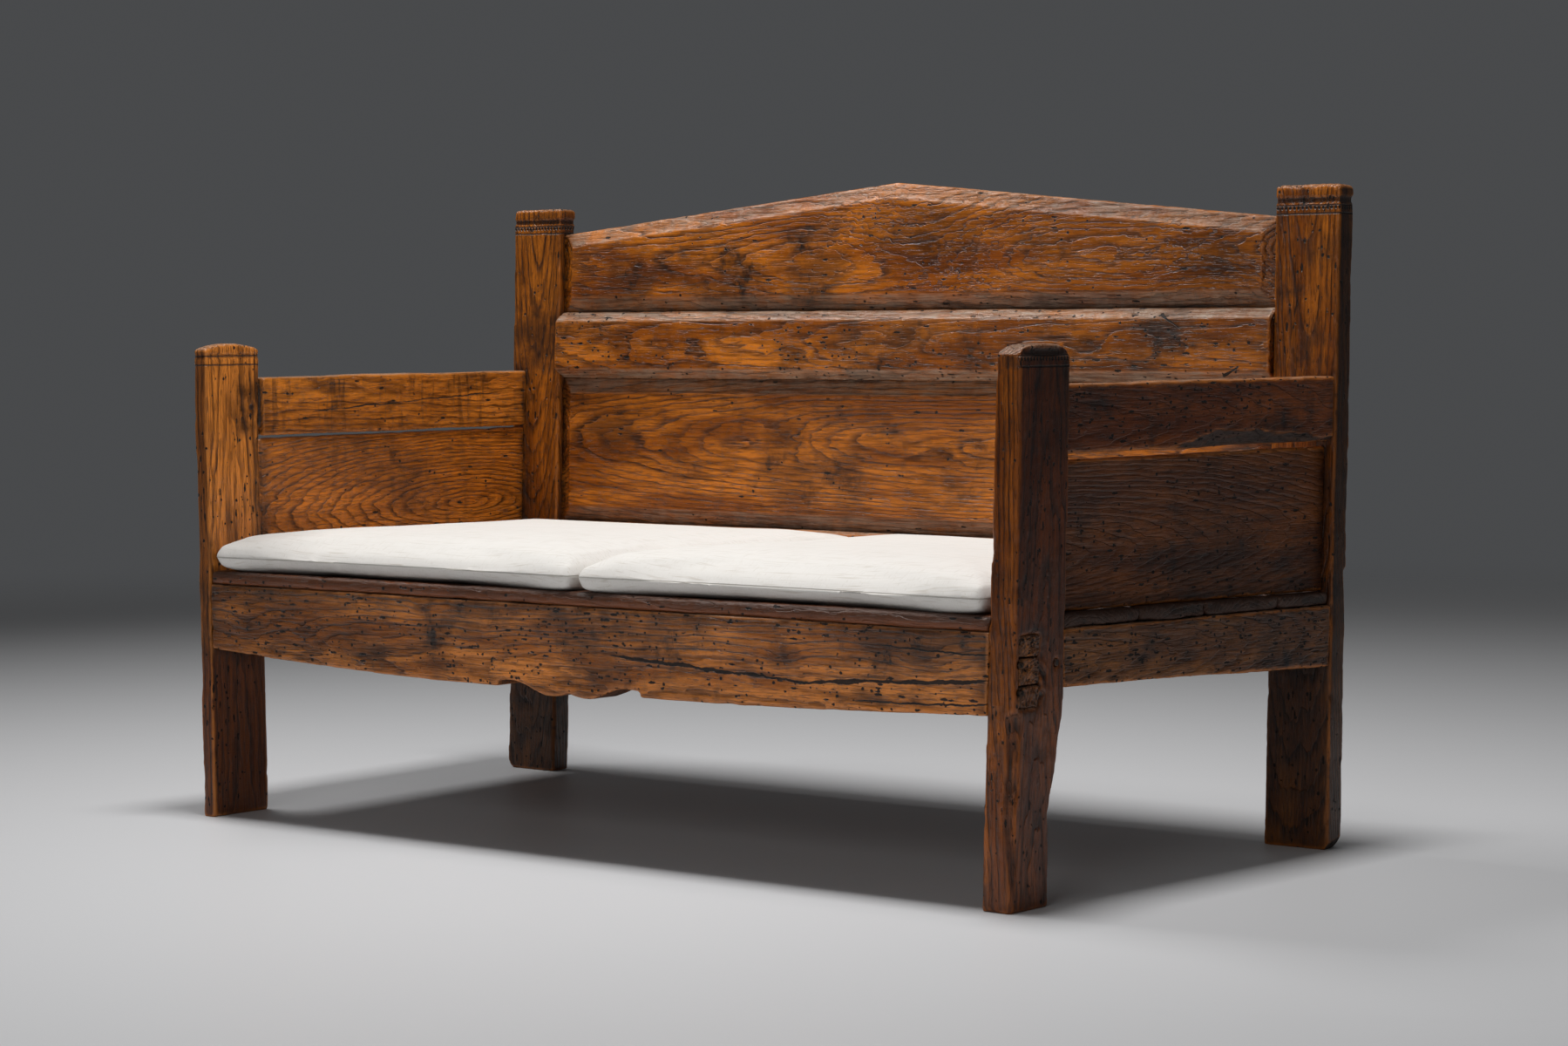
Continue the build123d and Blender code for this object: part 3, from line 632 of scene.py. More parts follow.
def incised_band_group():
    """Two scored lines round the top of a post, with a row of punched teeth between them."""
    graph, given, result = node_group(
        "Incised Band",
        (
            ("Position", "Vector", (0.0, 0.0, 0.0)),
            ("Upper", "Float", 0.78),
            ("Gap", "Float", 0.013),
            ("Pitch", "Float", 0.0075),
            ("Teeth", "Float", 1.0),
        ),
        (("Cut", "Float"),),
    )
    x, y, z = graph.parts(given["Position"])
    wobble = graph.noise(given["Position"], (30.0, 30.0, 30.0), 2.0)
    drop = graph.math("SUBTRACT", given["Upper"], z)
    drop = graph.math("MULTIPLY_ADD", graph.math("SUBTRACT", wobble, 0.5), 0.003, drop)
    first = graph.step(graph.math("ABSOLUTE", drop), 0.0018, 0.0006)
    second = graph.math("ABSOLUTE", graph.math("SUBTRACT", drop, given["Gap"]))
    second = graph.step(second, 0.0018, 0.0006)
    run = graph.math("DIVIDE", graph.math("ADD", x, y), given["Pitch"])
    tooth = graph.math("ABSOLUTE", graph.math("SUBTRACT", graph.math("FRACT", run), 0.5))
    tooth = graph.math("MULTIPLY", tooth, given["Pitch"])
    level = graph.math("MULTIPLY", graph.math("SUBTRACT", drop, 0.0036), 0.8)
    marks = graph.math("ADD", graph.math("POWER", tooth, 2.0), graph.math("POWER", level, 2.0))
    marks = graph.step(graph.math("SQRT", marks), 0.0030, 0.0016)
    marks = graph.math("MULTIPLY", marks, given["Teeth"])
    lines = graph.math("MULTIPLY", graph.math("MAXIMUM", first, second), 0.8)
    graph.feed(result["Cut"], graph.math("MAXIMUM", lines, marks))
    return graph.tree


# Pale dust with a painted sheen, for what faces up.
DUST_AND_SHEEN = (0.36, 0.26, 0.19, 1.0)
# Raw wood of wanes and sawn ends, also a painted shadow on the front board under the pads.
RAW_WOOD_AND_PAD_SHADOW = (0.024, 0.016, 0.012, 1.0)
PIT_SHADE = (0.005, 0.003, 0.002, 1.0)
PALE_THREAD = (0.86, 0.83, 0.79, 1.0)
SLUB_THREAD = (0.50, 0.43, 0.34, 1.0)
SEAM_SHADE = (0.30, 0.26, 0.21, 1.0)
BARE_IRON = (0.022, 0.019, 0.017, 1.0)
RUST = (0.085, 0.040, 0.020, 1.0)


def waxed_wood_group():
    """Colour, roughness and height of old waxed wood from its grain, stains and wear, with painted shade in
    hollows and by joints, a painted highlight on arrises and a painted sheen on what faces up.
    """
    graph, given, result = node_group(
        "Waxed Wood",
        (
            ("Light", "Color", (0.5, 0.2, 0.05, 1.0)),
            ("Body", "Color", (0.3, 0.1, 0.02, 1.0)),
            ("Dark", "Color", (0.06, 0.02, 0.005, 1.0)),
            ("Grime And Shade", "Color", (0.03, 0.015, 0.008, 1.0)),
            ("Line", "Float", 0.0),
            ("Fibre", "Float", 0.5),
            ("Tone", "Float", 0.5),
            ("Heart", "Float", 0.0),
            ("Pit", "Float", 0.0),
            ("Relief", "Float", 0.0),
            ("Joint", "Float", 0.0),
            ("Raw", "Float", 0.0),
            ("Outer", "Float", 0.0),
            ("Weathered", "Color", (0.4, 0.4, 0.5, 1.0)),
            ("Stain", "Float", 0.5),
            ("Drips", "Float", 0.0),
            ("Figure", "Float", 1.0),
            ("Top", "Float", 0.0),
            ("Dim", "Float", 1.0),
            ("Position", "Vector", (0.0, 0.0, 0.0)),
            ("Seed", "Float", 0.0),
        ),
        (("Color", "Color"), ("Roughness", "Float"), ("Height", "Float")),
    )
    place = graph.shifted(given["Position"], given["Seed"])
    colour = graph.mix(graph.step(given["Tone"], 0.38, 0.62), given["Body"], given["Light"])
    streak = graph.step(given["Fibre"], 0.60, 0.30, 0.0, 0.62)
    colour = graph.mix(streak, colour, given["Dark"])
    line = graph.math("MULTIPLY", given["Line"], graph.math("MULTIPLY", given["Figure"], 0.97))
    colour = graph.mix(line, colour, given["Dark"])
    colour = graph.mix(graph.math("MULTIPLY", given["Heart"], 0.75), colour, given["Dark"])
    cloud = graph.step(graph.noise(place, (4.0, 4.0, 6.0), 5.0, 0.65), 0.46, 0.66)
    blot = graph.step(graph.noise(place, (19.0, 19.0, 16.0), 5.0, 0.7), 0.52, 0.68)
    stain = graph.math("MULTIPLY_ADD", blot, 0.55, graph.math("MULTIPLY", cloud, 0.85))
    stain = graph.math("MULTIPLY", stain, given["Stain"])
    drip = graph.step(graph.noise(place, (40.0, 40.0, 5.0), 4.0, 0.7), 0.50, 0.66)
    stain = graph.math("MULTIPLY_ADD", drip, given["Drips"], stain, clamp=True)
    colour = graph.mix(stain, colour, given["Grime And Shade"])
    colour = graph.mix(1.0, colour, graph.join(*(given["Dim"],) * 3), "MULTIPLY")
    # Dirt and painted shade next to other pieces and the pads.
    dirt_and_shade = graph.step(graph.noise(place, (30.0, 30.0, 30.0), 4.0, 0.65), 0.30, 0.62, 0.35, 1.0)
    dirt_and_shade = graph.math("MULTIPLY", dirt_and_shade, graph.math("POWER", given["Joint"], 1.6))
    colour = graph.mix(graph.math("MULTIPLY", dirt_and_shade, 0.9), colour, given["Grime And Shade"])
    shade = graph.mix(1.0, colour, given["Weathered"], "MULTIPLY")
    colour = graph.mix(given["Outer"], colour, shade)
    # Grime and painted shade in hollows.
    hollow_grime_and_shade = graph.step(given["Relief"], -0.05, -0.55, 0.0, 0.92)
    colour = graph.mix(hollow_grime_and_shade, colour, given["Grime And Shade"])
    # Worn wood and a painted highlight along arrises.
    worn_and_highlit_arris = graph.step(given["Relief"], 0.15, 0.85, 0.0, 0.4)
    colour = graph.mix(worn_and_highlit_arris, colour, given["Light"])
    # Dust and a painted sheen on upward faces, the cap and a panel's bevels.
    dusty = graph.step(graph.noise(place, (25.0, 25.0, 25.0), 4.0, 0.65), 0.3, 0.65, 0.3, 0.9)
    dusty = graph.math("MULTIPLY", dusty, graph.step(given["Fibre"], 0.35, 0.62, 0.25, 1.0))
    dusty = graph.math("MULTIPLY", dusty, given["Top"])
    colour = graph.mix(dusty, colour, DUST_AND_SHEEN)
    # Raw wood, and the painted shadow on the front board under the pads.
    colour = graph.mix(graph.math("MULTIPLY", given["Raw"], 0.8), colour, RAW_WOOD_AND_PAD_SHADOW)
    colour = graph.mix(graph.math("MULTIPLY", given["Pit"], 0.97), colour, PIT_SHADE)
    graph.feed(result["Color"], colour)
    rough = graph.math("MULTIPLY_ADD", stain, 0.12, 0.20)
    rough = graph.math("MULTIPLY_ADD", given["Line"], 0.08, rough)
    rough = graph.math("MULTIPLY_ADD", given["Outer"], 0.14, rough)
    rough = graph.math("MULTIPLY_ADD", given["Fibre"], 0.08, rough)
    rough = graph.math("MULTIPLY_ADD", given["Pit"], 0.35, rough)
    rough = graph.math("MULTIPLY_ADD", given["Raw"], 0.2, rough)
    graph.feed(result["Roughness"], rough)
    dents = graph.noise(place, (48.0, 48.0, 48.0), 5.0, 0.62)
    height = graph.math("MULTIPLY", dents, graph.math("MULTIPLY_ADD", given["Raw"], 1.0, 0.75))
    height = graph.math("MULTIPLY_ADD", given["Fibre"], 0.55, height)
    height = graph.math("MULTIPLY_ADD", given["Line"], -0.65, height)
    height = graph.math("MULTIPLY_ADD", given["Pit"], -3.0, height)
    graph.feed(result["Height"], height)
    return graph.tree


def linen_weave_group():
    """Plain linen: slubs along both threads and a fine weave."""
    graph, given, result = node_group(
        "Linen Weave",
        (
            ("Position", "Vector", (0.0, 0.0, 0.0)),
            ("Seam", "Float", 1.0),
            ("Linen", "Color", (0.8, 0.75, 0.7, 1.0)),
        ),
        (("Color", "Color"), ("Height", "Float")),
    )
    place = given["Position"]
    warp = graph.noise(place, (420.0, 14.0, 160.0), 2.0)
    weft = graph.noise(place, (14.0, 420.0, 160.0), 2.0)
    slub = graph.math("MULTIPLY", graph.step(warp, 0.55, 0.75), 0.6)
    slub = graph.math("MAXIMUM", slub, graph.step(weft, 0.55, 0.75))
    blotch = graph.noise(place, (9.0, 9.0, 9.0), 4.0, 0.6)
    pale = graph.mix(graph.step(blotch, 0.3, 0.7, 0.0, 0.35), given["Linen"], PALE_THREAD)
    colour = graph.mix(graph.math("MULTIPLY", slub, 0.42), pale, SLUB_THREAD)
    away = graph.math("ABSOLUTE", given["Seam"])
    crease = graph.step(away, 0.0012, 0.0003)
    colour = graph.mix(graph.math("MULTIPLY", crease, 0.55), colour, SEAM_SHADE)
    graph.feed(result["Color"], colour)
    height = graph.math("ADD", graph.math("MULTIPLY", warp, 0.5), graph.math("MULTIPLY", weft, 0.5))
    height = graph.math("MULTIPLY_ADD", crease, -1.5, height)
    graph.feed(result["Height"], height)
    return graph.tree


# Woods of the pieces. Each grain is the order of the axes along, across and through the plank.
# The pith is how far the rings' centre lies from the piece's middle, along, across and through, and how
# much it tilts, which draws the rings out into long arches on the face.
# Knots are along, across and size. Splits are from along, from across, to along, to across and width.
# Tint colours the wood, lift draws its body colour to the light one, and weathered colours its outer sides.
# Dim goes from one X to another and from one brightness to another. Foot makes the leg darker and greyer, and
# below 0 it keeps the leg's outer sides paler. Dust with a painted sheen lies on what faces up, and the bevel
# setting puts it on a panel's slopes: a painted highlight on the upper ones, a painted reflection on the
# lower. Drips are stains that run down, and figure is how strongly the rings show. Above crisp_above the
# arrises are rubbed less, and above
# pale_above the cap is pale all round: dust with a painted sheen.
ALONG_X = (0, 2, 1)
ALONG_X_FLAT = (0, 1, 2)
ALONG_Y = (1, 2, 0)
UPRIGHT_FACING = (2, 0, 1)
UPRIGHT_EDGE_ON = (2, 1, 0)


def wood(grain, pith, sway, stain, holes, cracks, **marks):
    """Values of one piece's wood."""
    always = {"grain": grain, "pith": pith, "sway": sway, "stain": stain, "holes": holes, "cracks": cracks}
    return {**always, **marks}


TOP_KNOTS = (
    (0.071, 0.978, 0.062),
    (-0.583, 0.945, 0.012),
    (-0.423, 0.9145, 0.008),
    (0.669, 0.925, 0.050),
    (0.484, 0.945, 0.006),
)
MID_KNOTS = (
    (-0.6175, 0.795, 0.014),
    (-0.428, 0.795, 0.016),
    (-0.199, 0.783, 0.016),
    (0.041, 0.813, 0.016),
    (0.429, 0.805, 0.014),
    (0.590, 0.795, 0.014),
)
LOW_KNOTS = ((-0.231, 0.640, 0.026), (0.116, 0.613, 0.016))
FRONT_KNOTS = (
    (0.435, 0.345, 0.018),
    (0.703, 0.355, 0.020),
    (-0.726, 0.335, 0.018),
    (-0.588, 0.329, 0.012),
    (-0.316, 0.382, 0.012),
)
FRONT_SPLITS = (
    (0.070, 0.328, 0.505, 0.308, 0.0028),
    (0.470, 0.309, 0.815, 0.330, 0.0034),
    (0.560, 0.286, 0.815, 0.296, 0.0018),
    (0.600, 0.372, 0.815, 0.366, 0.0016),
    (0.215, 0.376, 0.222, 0.340, 0.0012),
)
ARM_SPLITS = ((-0.200, 0.686, 0.040, 0.700, 0.0014), (0.030, 0.700, 0.300, 0.711, 0.0012))
MID_GOUGES = ((0.562, 0.850, 0.607, 0.823, 0.0024), (0.683, 0.748, 0.719, 0.765, 0.0026))
# Bands are the height of the upper line, the gap down to the lower one and how strong the teeth are.
LEFT_BAND = (0.787, 0.015, 0.0)
RIGHT_BAND = (0.7912, 0.015, 1.0)
REAR_BAND = (1.0194, 0.013, 1.0)

WOODS = {
    "top_panel": wood(
        ALONG_X, (0.05, -0.02, 0.055, 0.05), 0.035, 0.75, 0.12, 0.12, knots=TOP_KNOTS,
        dim=(-0.1, 0.6, 1.0, 0.6), tint=(1.05, 0.96, 0.7), bevelled=0.85,
    ),
    "mid_rail": wood(
        ALONG_X, (0.20, 0.0, 0.050, 0.03), 0.040, 0.75, 0.55, 0.25, knots=MID_KNOTS, splits=MID_GOUGES,
        dim=(-0.1, 0.6, 1.0, 0.65), drips=0.15, bevelled=1.1,
    ),
    "low_panel": wood(
        ALONG_X, (-0.25, 0.02, 0.055, 0.06), 0.045, 0.65, 0.08, 0.10, knots=LOW_KNOTS,
        tint=(0.88, 0.88, 0.95), bevelled=0.8,
    ),
    "front_rail": wood(
        ALONG_X, (0.0, -0.03, 0.050, 0.02), 0.040, 0.80, 0.95, 0.45,
        knots=FRONT_KNOTS, splits=FRONT_SPLITS, dim=(-0.8, -0.2, 0.62, 1.0), tint=(1.0, 1.12, 2.4),
    ),
    "rear_rail": wood(ALONG_X, (0.0, 0.0, 0.07, 0.02), 0.040, 0.75, 0.30, 0.30, tint=(0.7, 0.7, 0.8)),
    "boards": wood(
        ALONG_X_FLAT, (0.0, 0.02, -0.08, 0.02), 0.050, 0.70, 0.35, 0.35,
        tint=(0.40, 0.34, 0.6), weathered=(0.45, 0.48, 0.75), dust=0.0,
    ),
    "side_left": wood(ALONG_Y, (0.0, -0.015, -0.03, -0.14), 0.030, 0.55, 0.10, 0.10, lift=0.55, drips=0.2),
    "side_right": wood(
        ALONG_Y, (0.05, -0.02, -0.07, 0.06), 0.060, 0.75, 0.45, 0.25,
        weathered=(0.25, 0.23, 0.31), figure=0.25,
    ),
    "arm_left": wood(
        ALONG_Y, (0.0, 0.03, -0.06, 0.03), 0.040, 0.75, 0.20, 0.25, splits=ARM_SPLITS,
        tint=(1.0, 1.06, 1.3), lift=0.4, drips=0.5,
    ),
    "arm_right": wood(
        ALONG_Y, (0.0, 0.0, -0.07, 0.03), 0.040, 0.75, 0.50, 0.20, weathered=(0.37, 0.29, 0.30), figure=0.5,
    ),
    "side_rail_left": wood(ALONG_Y, (0.0, 0.0, 0.06, 0.03), 0.045, 0.75, 0.60, 0.40),
    "side_rail_right": wood(
        ALONG_Y, (0.0, 0.0, -0.06, 0.03), 0.045, 0.75, 0.95, 0.50, weathered=(0.40, 0.46, 0.80), figure=0.7,
    ),
    "front_post_left": wood(
        UPRIGHT_EDGE_ON, (0.0, 0.0, -0.06, 0.03), 0.040, 0.15, 0.40, 0.15,
        band=LEFT_BAND, tint=(1.0, 1.12, 2.0), lift=1.0, weathered=(0.22, 0.16, 0.14),
        foot=1.0, drips=0.15, crisp_above=0.775,
    ),
    "front_post_right": wood(
        UPRIGHT_EDGE_ON, (0.0, 0.0, -0.06, 0.02), 0.040, 0.70, 0.45, 0.25,
        band=RIGHT_BAND, outer_band=True, tint=(0.52, 0.46, 0.40), weathered=(0.36, 0.28, 0.25),
        foot=-0.4, crisp_above=0.77, pale_above=0.802,
    ),
    "rear_post": wood(
        UPRIGHT_FACING, (0.1, 0.0, 0.055, 0.05), 0.045, 0.80, 0.30, 0.25,
        band=REAR_BAND, tint=(0.68, 0.66, 0.60), weathered=(0.20, 0.22, 0.34), foot=0.9, crisp_above=1.015,
    ),
    "pegs": wood(UPRIGHT_EDGE_ON, (0.0, 0.0, 0.02, 0.0), 0.020, 0.90, 0.0, 0.10, tint=(0.35, 0.33, 0.36)),
}


def wood_material(node, wood, seed):
    """Old waxed wood for one piece, from the shared node groups."""
    settings = bpy.context.scene.bench_wood
    low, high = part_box(node)
    centre = (low + high) / 2
    *offset, tilt = wood["pith"]
    pith = [centre[axis] + away for axis, away in zip(wood["grain"], offset)]
    tint = np.array(wood.get("tint", (1.0, 1.0, 1.0)))
    light = np.minimum(np.array(settings.light) * tint, 0.9)
    body = np.array(settings.body) * tint
    body += wood.get("lift", 0.0) * (light - body)
    material, graph, shader = new_material(f"waxed_wood_{node}")
    position = graph.position()
    axes = graph.parts(position)
    grain = graph.join(*(axes[k] for k in wood["grain"]))
    outer = graph.attribute("outer")
    bend, heart = 0.0, 0.0
    for along, across, size in wood.get("knots", ()):
        knot = graph.group("Knot", {"Grain": grain, "Along": along, "Across": across, "Size": size})
        bend = graph.math("ADD", bend, knot["Bend"])
        heart = graph.math("MAXIMUM", heart, knot["Heart"])
    rings = graph.group(
        "Growth Rings",
        {
            "Grain": grain,
            "Seed": seed,
            "Pith Along": pith[0],
            "Pith Across": pith[1],
            "Pith Through": pith[2],
            "Tilt": tilt,
            "Ring Width": settings.ring_width,
            "Sway": wood["sway"],
            "Bend": bend,
        },
    )
    pits = [
        graph.group("Worm Holes", {"Grain": grain, "Seed": seed, "Amount": wood["holes"]})["Hole"],
        graph.group("Drying Cracks", {"Grain": grain, "Seed": seed, "Amount": wood["cracks"]})["Crack"],
    ]
    for start, low_end, end, high_end, width in wood.get("splits", ()):
        ends = {"From Along": start, "From Across": low_end, "To Along": end, "To Across": high_end}
        pits.append(graph.group("Split", {"Grain": grain, "Width": width, **ends})["Split"])
    if "band" in wood:
        upper, gap, teeth = wood["band"]
        lines = {"Position": position, "Upper": upper, "Gap": gap, "Teeth": teeth}
        band = graph.group("Incised Band", lines)["Cut"]
        pits.append(graph.math("MULTIPLY", band, outer) if wood.get("outer_band") else band)
    finish = graph.group(
        "Waxed Wood",
        {
            "Light": rgba(light),
            "Body": rgba(body),
            "Dark": rgba(np.array(settings.dark) * np.minimum(tint, 1.0)),
            "Grime And Shade": rgba(settings.grime_and_shade),
            "Line": rings["Line"],
            "Fibre": rings["Fibre"],
            "Tone": rings["Tone"],
            "Heart": heart,
            "Pit": graph.most(*pits),
            "Relief": graph.attribute("relief"),
            "Joint": graph.attribute("joint"),
            "Raw": graph.attribute("raw_wood_and_shadow"),
            "Outer": outer,
            "Weathered": rgba(wood.get("weathered", (0.42, 0.42, 0.62))),
            "Stain": wood["stain"],
            "Drips": wood.get("drips", 0.0),
            "Figure": wood.get("figure", 1.0),
            "Top": graph.attribute("top"),
            "Dim": graph.step(axes[0], *wood.get("dim", (0.0, 1.0, 1.0, 1.0))),
            "Position": position,
            "Seed": seed,
        },
    )
    bump = graph.node("ShaderNodeBump", {"Strength": 1.0, "Distance": 0.0022, "Height": finish["Height"]})
    graph.feed(shader.inputs["Base Color"], finish["Color"])
    graph.feed(shader.inputs["Roughness"], finish["Roughness"])
    graph.feed(shader.inputs["Normal"], bump.outputs[0])
    shader.inputs["Specular IOR Level"].default_value = 0.4
    return material


def iron_material():
    """Dark hand-forged iron of the nails and pins."""
    material, graph, shader = new_material("forged_iron")
    scale = graph.noise(graph.position(), (260.0, 260.0, 260.0), 4.0, 0.65)
    rust = graph.step(scale, 0.42, 0.66)
    colour = graph.mix(rust, BARE_IRON, RUST)
    graph.feed(shader.inputs["Base Color"], colour)
    graph.feed(shader.inputs["Roughness"], graph.step(scale, 0.3, 0.7, 0.38, 0.75))
    graph.feed(shader.inputs["Metallic"], graph.step(rust, 0.0, 1.0, 0.9, 0.2))
    bump = graph.node("ShaderNodeBump", {"Strength": 0.6, "Distance": 0.0006, "Height": scale})
    graph.feed(shader.inputs["Normal"], bump.outputs[0])
    return material


def linen_material():
    """Off-white linen of the pads."""
    material, graph, shader = new_material("linen")
    weave = graph.group(
        "Linen Weave",
        {
            "Position": graph.position(),
            "Seam": graph.attribute("seam"),
            "Linen": rgba(bpy.context.scene.bench_pads.linen),
        },
    )
    bump = graph.node("ShaderNodeBump", {"Strength": 0.6, "Distance": 0.0008, "Height": weave["Height"]})
    graph.feed(shader.inputs["Base Color"], weave["Color"])
    graph.feed(shader.inputs["Normal"], bump.outputs[0])
    shader.inputs["Roughness"].default_value = 0.92
    shader.inputs["Specular IOR Level"].default_value = 0.15
    shader.inputs["Sheen Weight"].default_value = 0.15
    return material


GROUP_MAKERS = {
    "Growth Rings": growth_rings_group,
    "Knot": knot_group,
    "Worm Holes": worm_holes_group,
    "Drying Cracks": drying_cracks_group,
    "Split": split_group,
    "Incised Band": incised_band_group,
    "Waxed Wood": waxed_wood_group,
    "Linen Weave": linen_weave_group,
}


# Wear that belongs to one piece
OUTER_LEAN = 21 / 809  # how far the right front post leans out for each metre of its height
REAR_GROOVE = (1.0325, 1.0235, 0.0025)  # upper and lower edge and depth of the groove under a rear post's cap
ARM_CORNER = (0.8523, -0.31525, 0.648)  # front lower outer corner of the right arm
ARM_FLARE = math.radians(3.0426)  # how far the arms open towards the back


def groove_cap(shape, upper, lower, depth, direction=None):
    """Sink a groove round a post under its cap, or only into the face that looks one way."""
    normals = shape.normals()
    height = shape.points[:, 2]
    middle, half = (upper + lower) / 2, (upper - lower) / 2
    share = np.clip(1.4 - np.abs(height - middle) / half, 0, 0.4) / 0.4
    if direction is not None:
        share = share * np.clip(2 * normals @ np.array(direction, dtype=float), 0, 1)
    normals[:, 2] = 0
    shape.points -= normals * (depth * share)[:, None]


def wear_front_post_left(shape):
    """Score the groove under the cap."""
    groove_cap(shape, 0.7905, 0.7835, 0.0014)


def wear_front_post_right(shape):
    """Rub the leg's front outer corner into a rough chamfer, round the shoulder and sink the cap's groove."""
    height = shape.points[:, 2]
    rough = 0.005 * noise(shape.points, (0.012, 0.012, 0.03), 5)
    depth = np.interp(height, (0.0, 0.05, 0.18, 0.28, 0.34), (0.003, 0.006, 0.011, 0.010, -0.02))
    shape.shave((0.847, -0.4394, 0.0), (0.72, -0.69, 0.0), depth + rough - 0.72 * OUTER_LEAN * height)
    shape.bruise((0.858, -0.375, 0.335), (0.02, 0.022, 0.055), 0.006, 6)
    shape.bruise((0.860, -0.360, 0.475), (0.02, 0.035, 0.050), 0.001, 6)
    shape.raw_wood_and_shadow *= 0.35
    shape.shave((0.850, -0.4394, 0.800), (0.0, -0.6, 0.8), 0.005)
    shape.raw_wood_and_shadow[shape.points[:, 2] > 0.7] = 0
    groove_cap(shape, 0.8015, 0.7930, 0.0040, (1, 0, 0))


def wear_rear_post_left(shape):
    """Sink the groove under the cap and break the foot's outer corner."""
    groove_cap(shape, *REAR_GROOVE)
    rough = 0.003 * noise(shape.points, (0.02, 0.02, 0.02), 7)
    shape.shave((-0.891, 0.362, 0.0), (-0.75, -0.2, -0.63), 0.010 + rough)


def wear_rear_post_right(shape):
    """Sink the cap's groove, split away the rear edge behind the side rail and rub the leg's corner."""
    groove_cap(shape, *REAR_GROOVE)
    height = shape.points[:, 2]
    torn = np.interp(height, (0.34, 0.36, 0.44, 0.46), (-0.02, 0.004, 0.005, -0.02))
    rough = 0.005 * noise(shape.points, (0.02, 0.02, 0.05), 8)
    shape.shave((0.891, 0.418, 0.0), (0.7, 0.7, 0.0), torn + rough)
    low = np.interp(height, (0.0, 0.06, 0.14), (0.010, 0.003, -0.02))
    shape.shave((0.891, 0.405, 0.0), (0.9, 0.1, -0.5), low + 0.4 * rough)


def wear_arm_right(shape):
    """Leave the natural wane of the log along the lower outer edge."""
    along = shape.points[:, 1]
    rise = np.interp(along, (-0.10, 0.0, 0.07, 0.17, 0.31, 0.37), (-0.01, 0.008, 0.026, 0.022, 0.012, 0.008))
    rough = 0.0030 * noise(shape.points, (0.015, 0.022, 0.010), 12)
    outer = ARM_CORNER[0] + (along - ARM_CORNER[1]) * math.tan(ARM_FLARE)
    edge = np.stack((outer, along, np.full(len(along), ARM_CORNER[2])), axis=1)
    normal = np.array((0.75, 0.0, -0.66))
    cut = np.maximum(np.einsum("ij,j->i", shape.points - edge, normal) + rise * 0.66 + rough, 0)
    shape.points -= np.outer(cut, normal)
    shape.raw_wood_and_shadow = np.clip(cut / 0.002, 0, 1)


def wear_front_rail(shape):
    """Roughen the sawn ends of the through tenons and chip the lower edge."""
    points = shape.points
    end = np.clip((np.abs(points[:, 0]) - 0.838) / 0.006, 0, 1)
    rough = noise(points, (0.05, 0.007, 0.010), 14) + 0.7 * noise(points, (0.05, 0.003, 0.004), 15)
    points[:, 0] -= np.sign(points[:, 0]) * end * (0.0012 + 0.0022 * rough)
    shape.raw_wood_and_shadow = 0.5 * end
    chip = np.clip(noise(points, (0.03, 0.05, 0.05), 16) - 0.45, 0, 1)
    low = np.clip((0.300 - points[:, 2]) / 0.02, 0, 1) * (np.abs(points[:, 0]) < 0.8)
    points[:, 2] += 0.006 * chip * low


def wear_board_ends(shape):
    """Break the ends of a seat board."""
    points = shape.points
    end = np.clip((np.abs(points[:, 0]) - 0.80) / 0.03, 0, 1)
    rough = noise(points, (0.05, 0.035, 0.012), 17) + 0.6 * noise(points, (0.05, 0.010, 0.008), 18)
    points[:, 0] -= np.sign(points[:, 0]) * end * (0.002 + 0.0035 * rough)
    shape.raw_wood_and_shadow = end


def wear_front_board_with_pad_shadow(shape):
    """Break the ends of the front board and paint a shadow on its front edge where the pads hang over it."""
    wear_board_ends(shape)
    # Painted shadow under the pads' overhang, on the upper front edge.
    upper = np.clip((shape.points[:, 2] - 0.406) / 0.008, 0, 1)
    shape.raw_wood_and_shadow = np.maximum(shape.raw_wood_and_shadow, 0.9 * upper * (shape.points[:, 1] < front_edge() + 0.008))


def wear_panel_left(shape):
    """Let the panel stand closer under the arm rail."""
    shape.points[:, 2] += 0.005 * np.clip((shape.points[:, 2] - 0.60) / 0.03, 0, 1)


def wear_top_panel(shape):
    """Chip the upper edge."""
    shape.bruise((0.502, 0.385, 1.016), (0.040, 0.03, 0.014), 0.004, 19)


WEAR = {
    "front_post_left": wear_front_post_left,
    "front_post_right": wear_front_post_right,
    "rear_post_left": wear_rear_post_left,
    "rear_post_right": wear_rear_post_right,
    "arm_rail_right": wear_arm_right,
    "front_rail": wear_front_rail,
    "side_panel_left": wear_panel_left,
    "back_top_panel": wear_top_panel,
    "seat_board_front": wear_front_board_with_pad_shadow,
    "seat_board_second": wear_board_ends,
    "seat_board_third": wear_board_ends,
    "seat_board_rear": wear_board_ends,
}


def facing(normals, directions):
    """How much each normal faces one of the directions, from 0 to 1."""
    most = np.max(normals @ np.array(directions, dtype=float).T, axis=1)
    return np.clip((most - 0.25) / 0.5, 0, 1)


# The thin-walled joints of the left front post are filled before it is remeshed: lower and upper corner.
JOINT_FILLS = {"front_post_left": ((-0.8525, -0.366, 0.420), (-0.8275, -0.317, 0.742))}
# Height below which the legs of a post are darker and greyer by their foot setting, or paler where it is
# below 0.
LEG_TOP = 0.40
# The front rail's tenon ends are meshed more finely than the rail: where they start, hidden in the posts.
TENON_CUTS = {"front_rail": (-0.830, 0.822)}


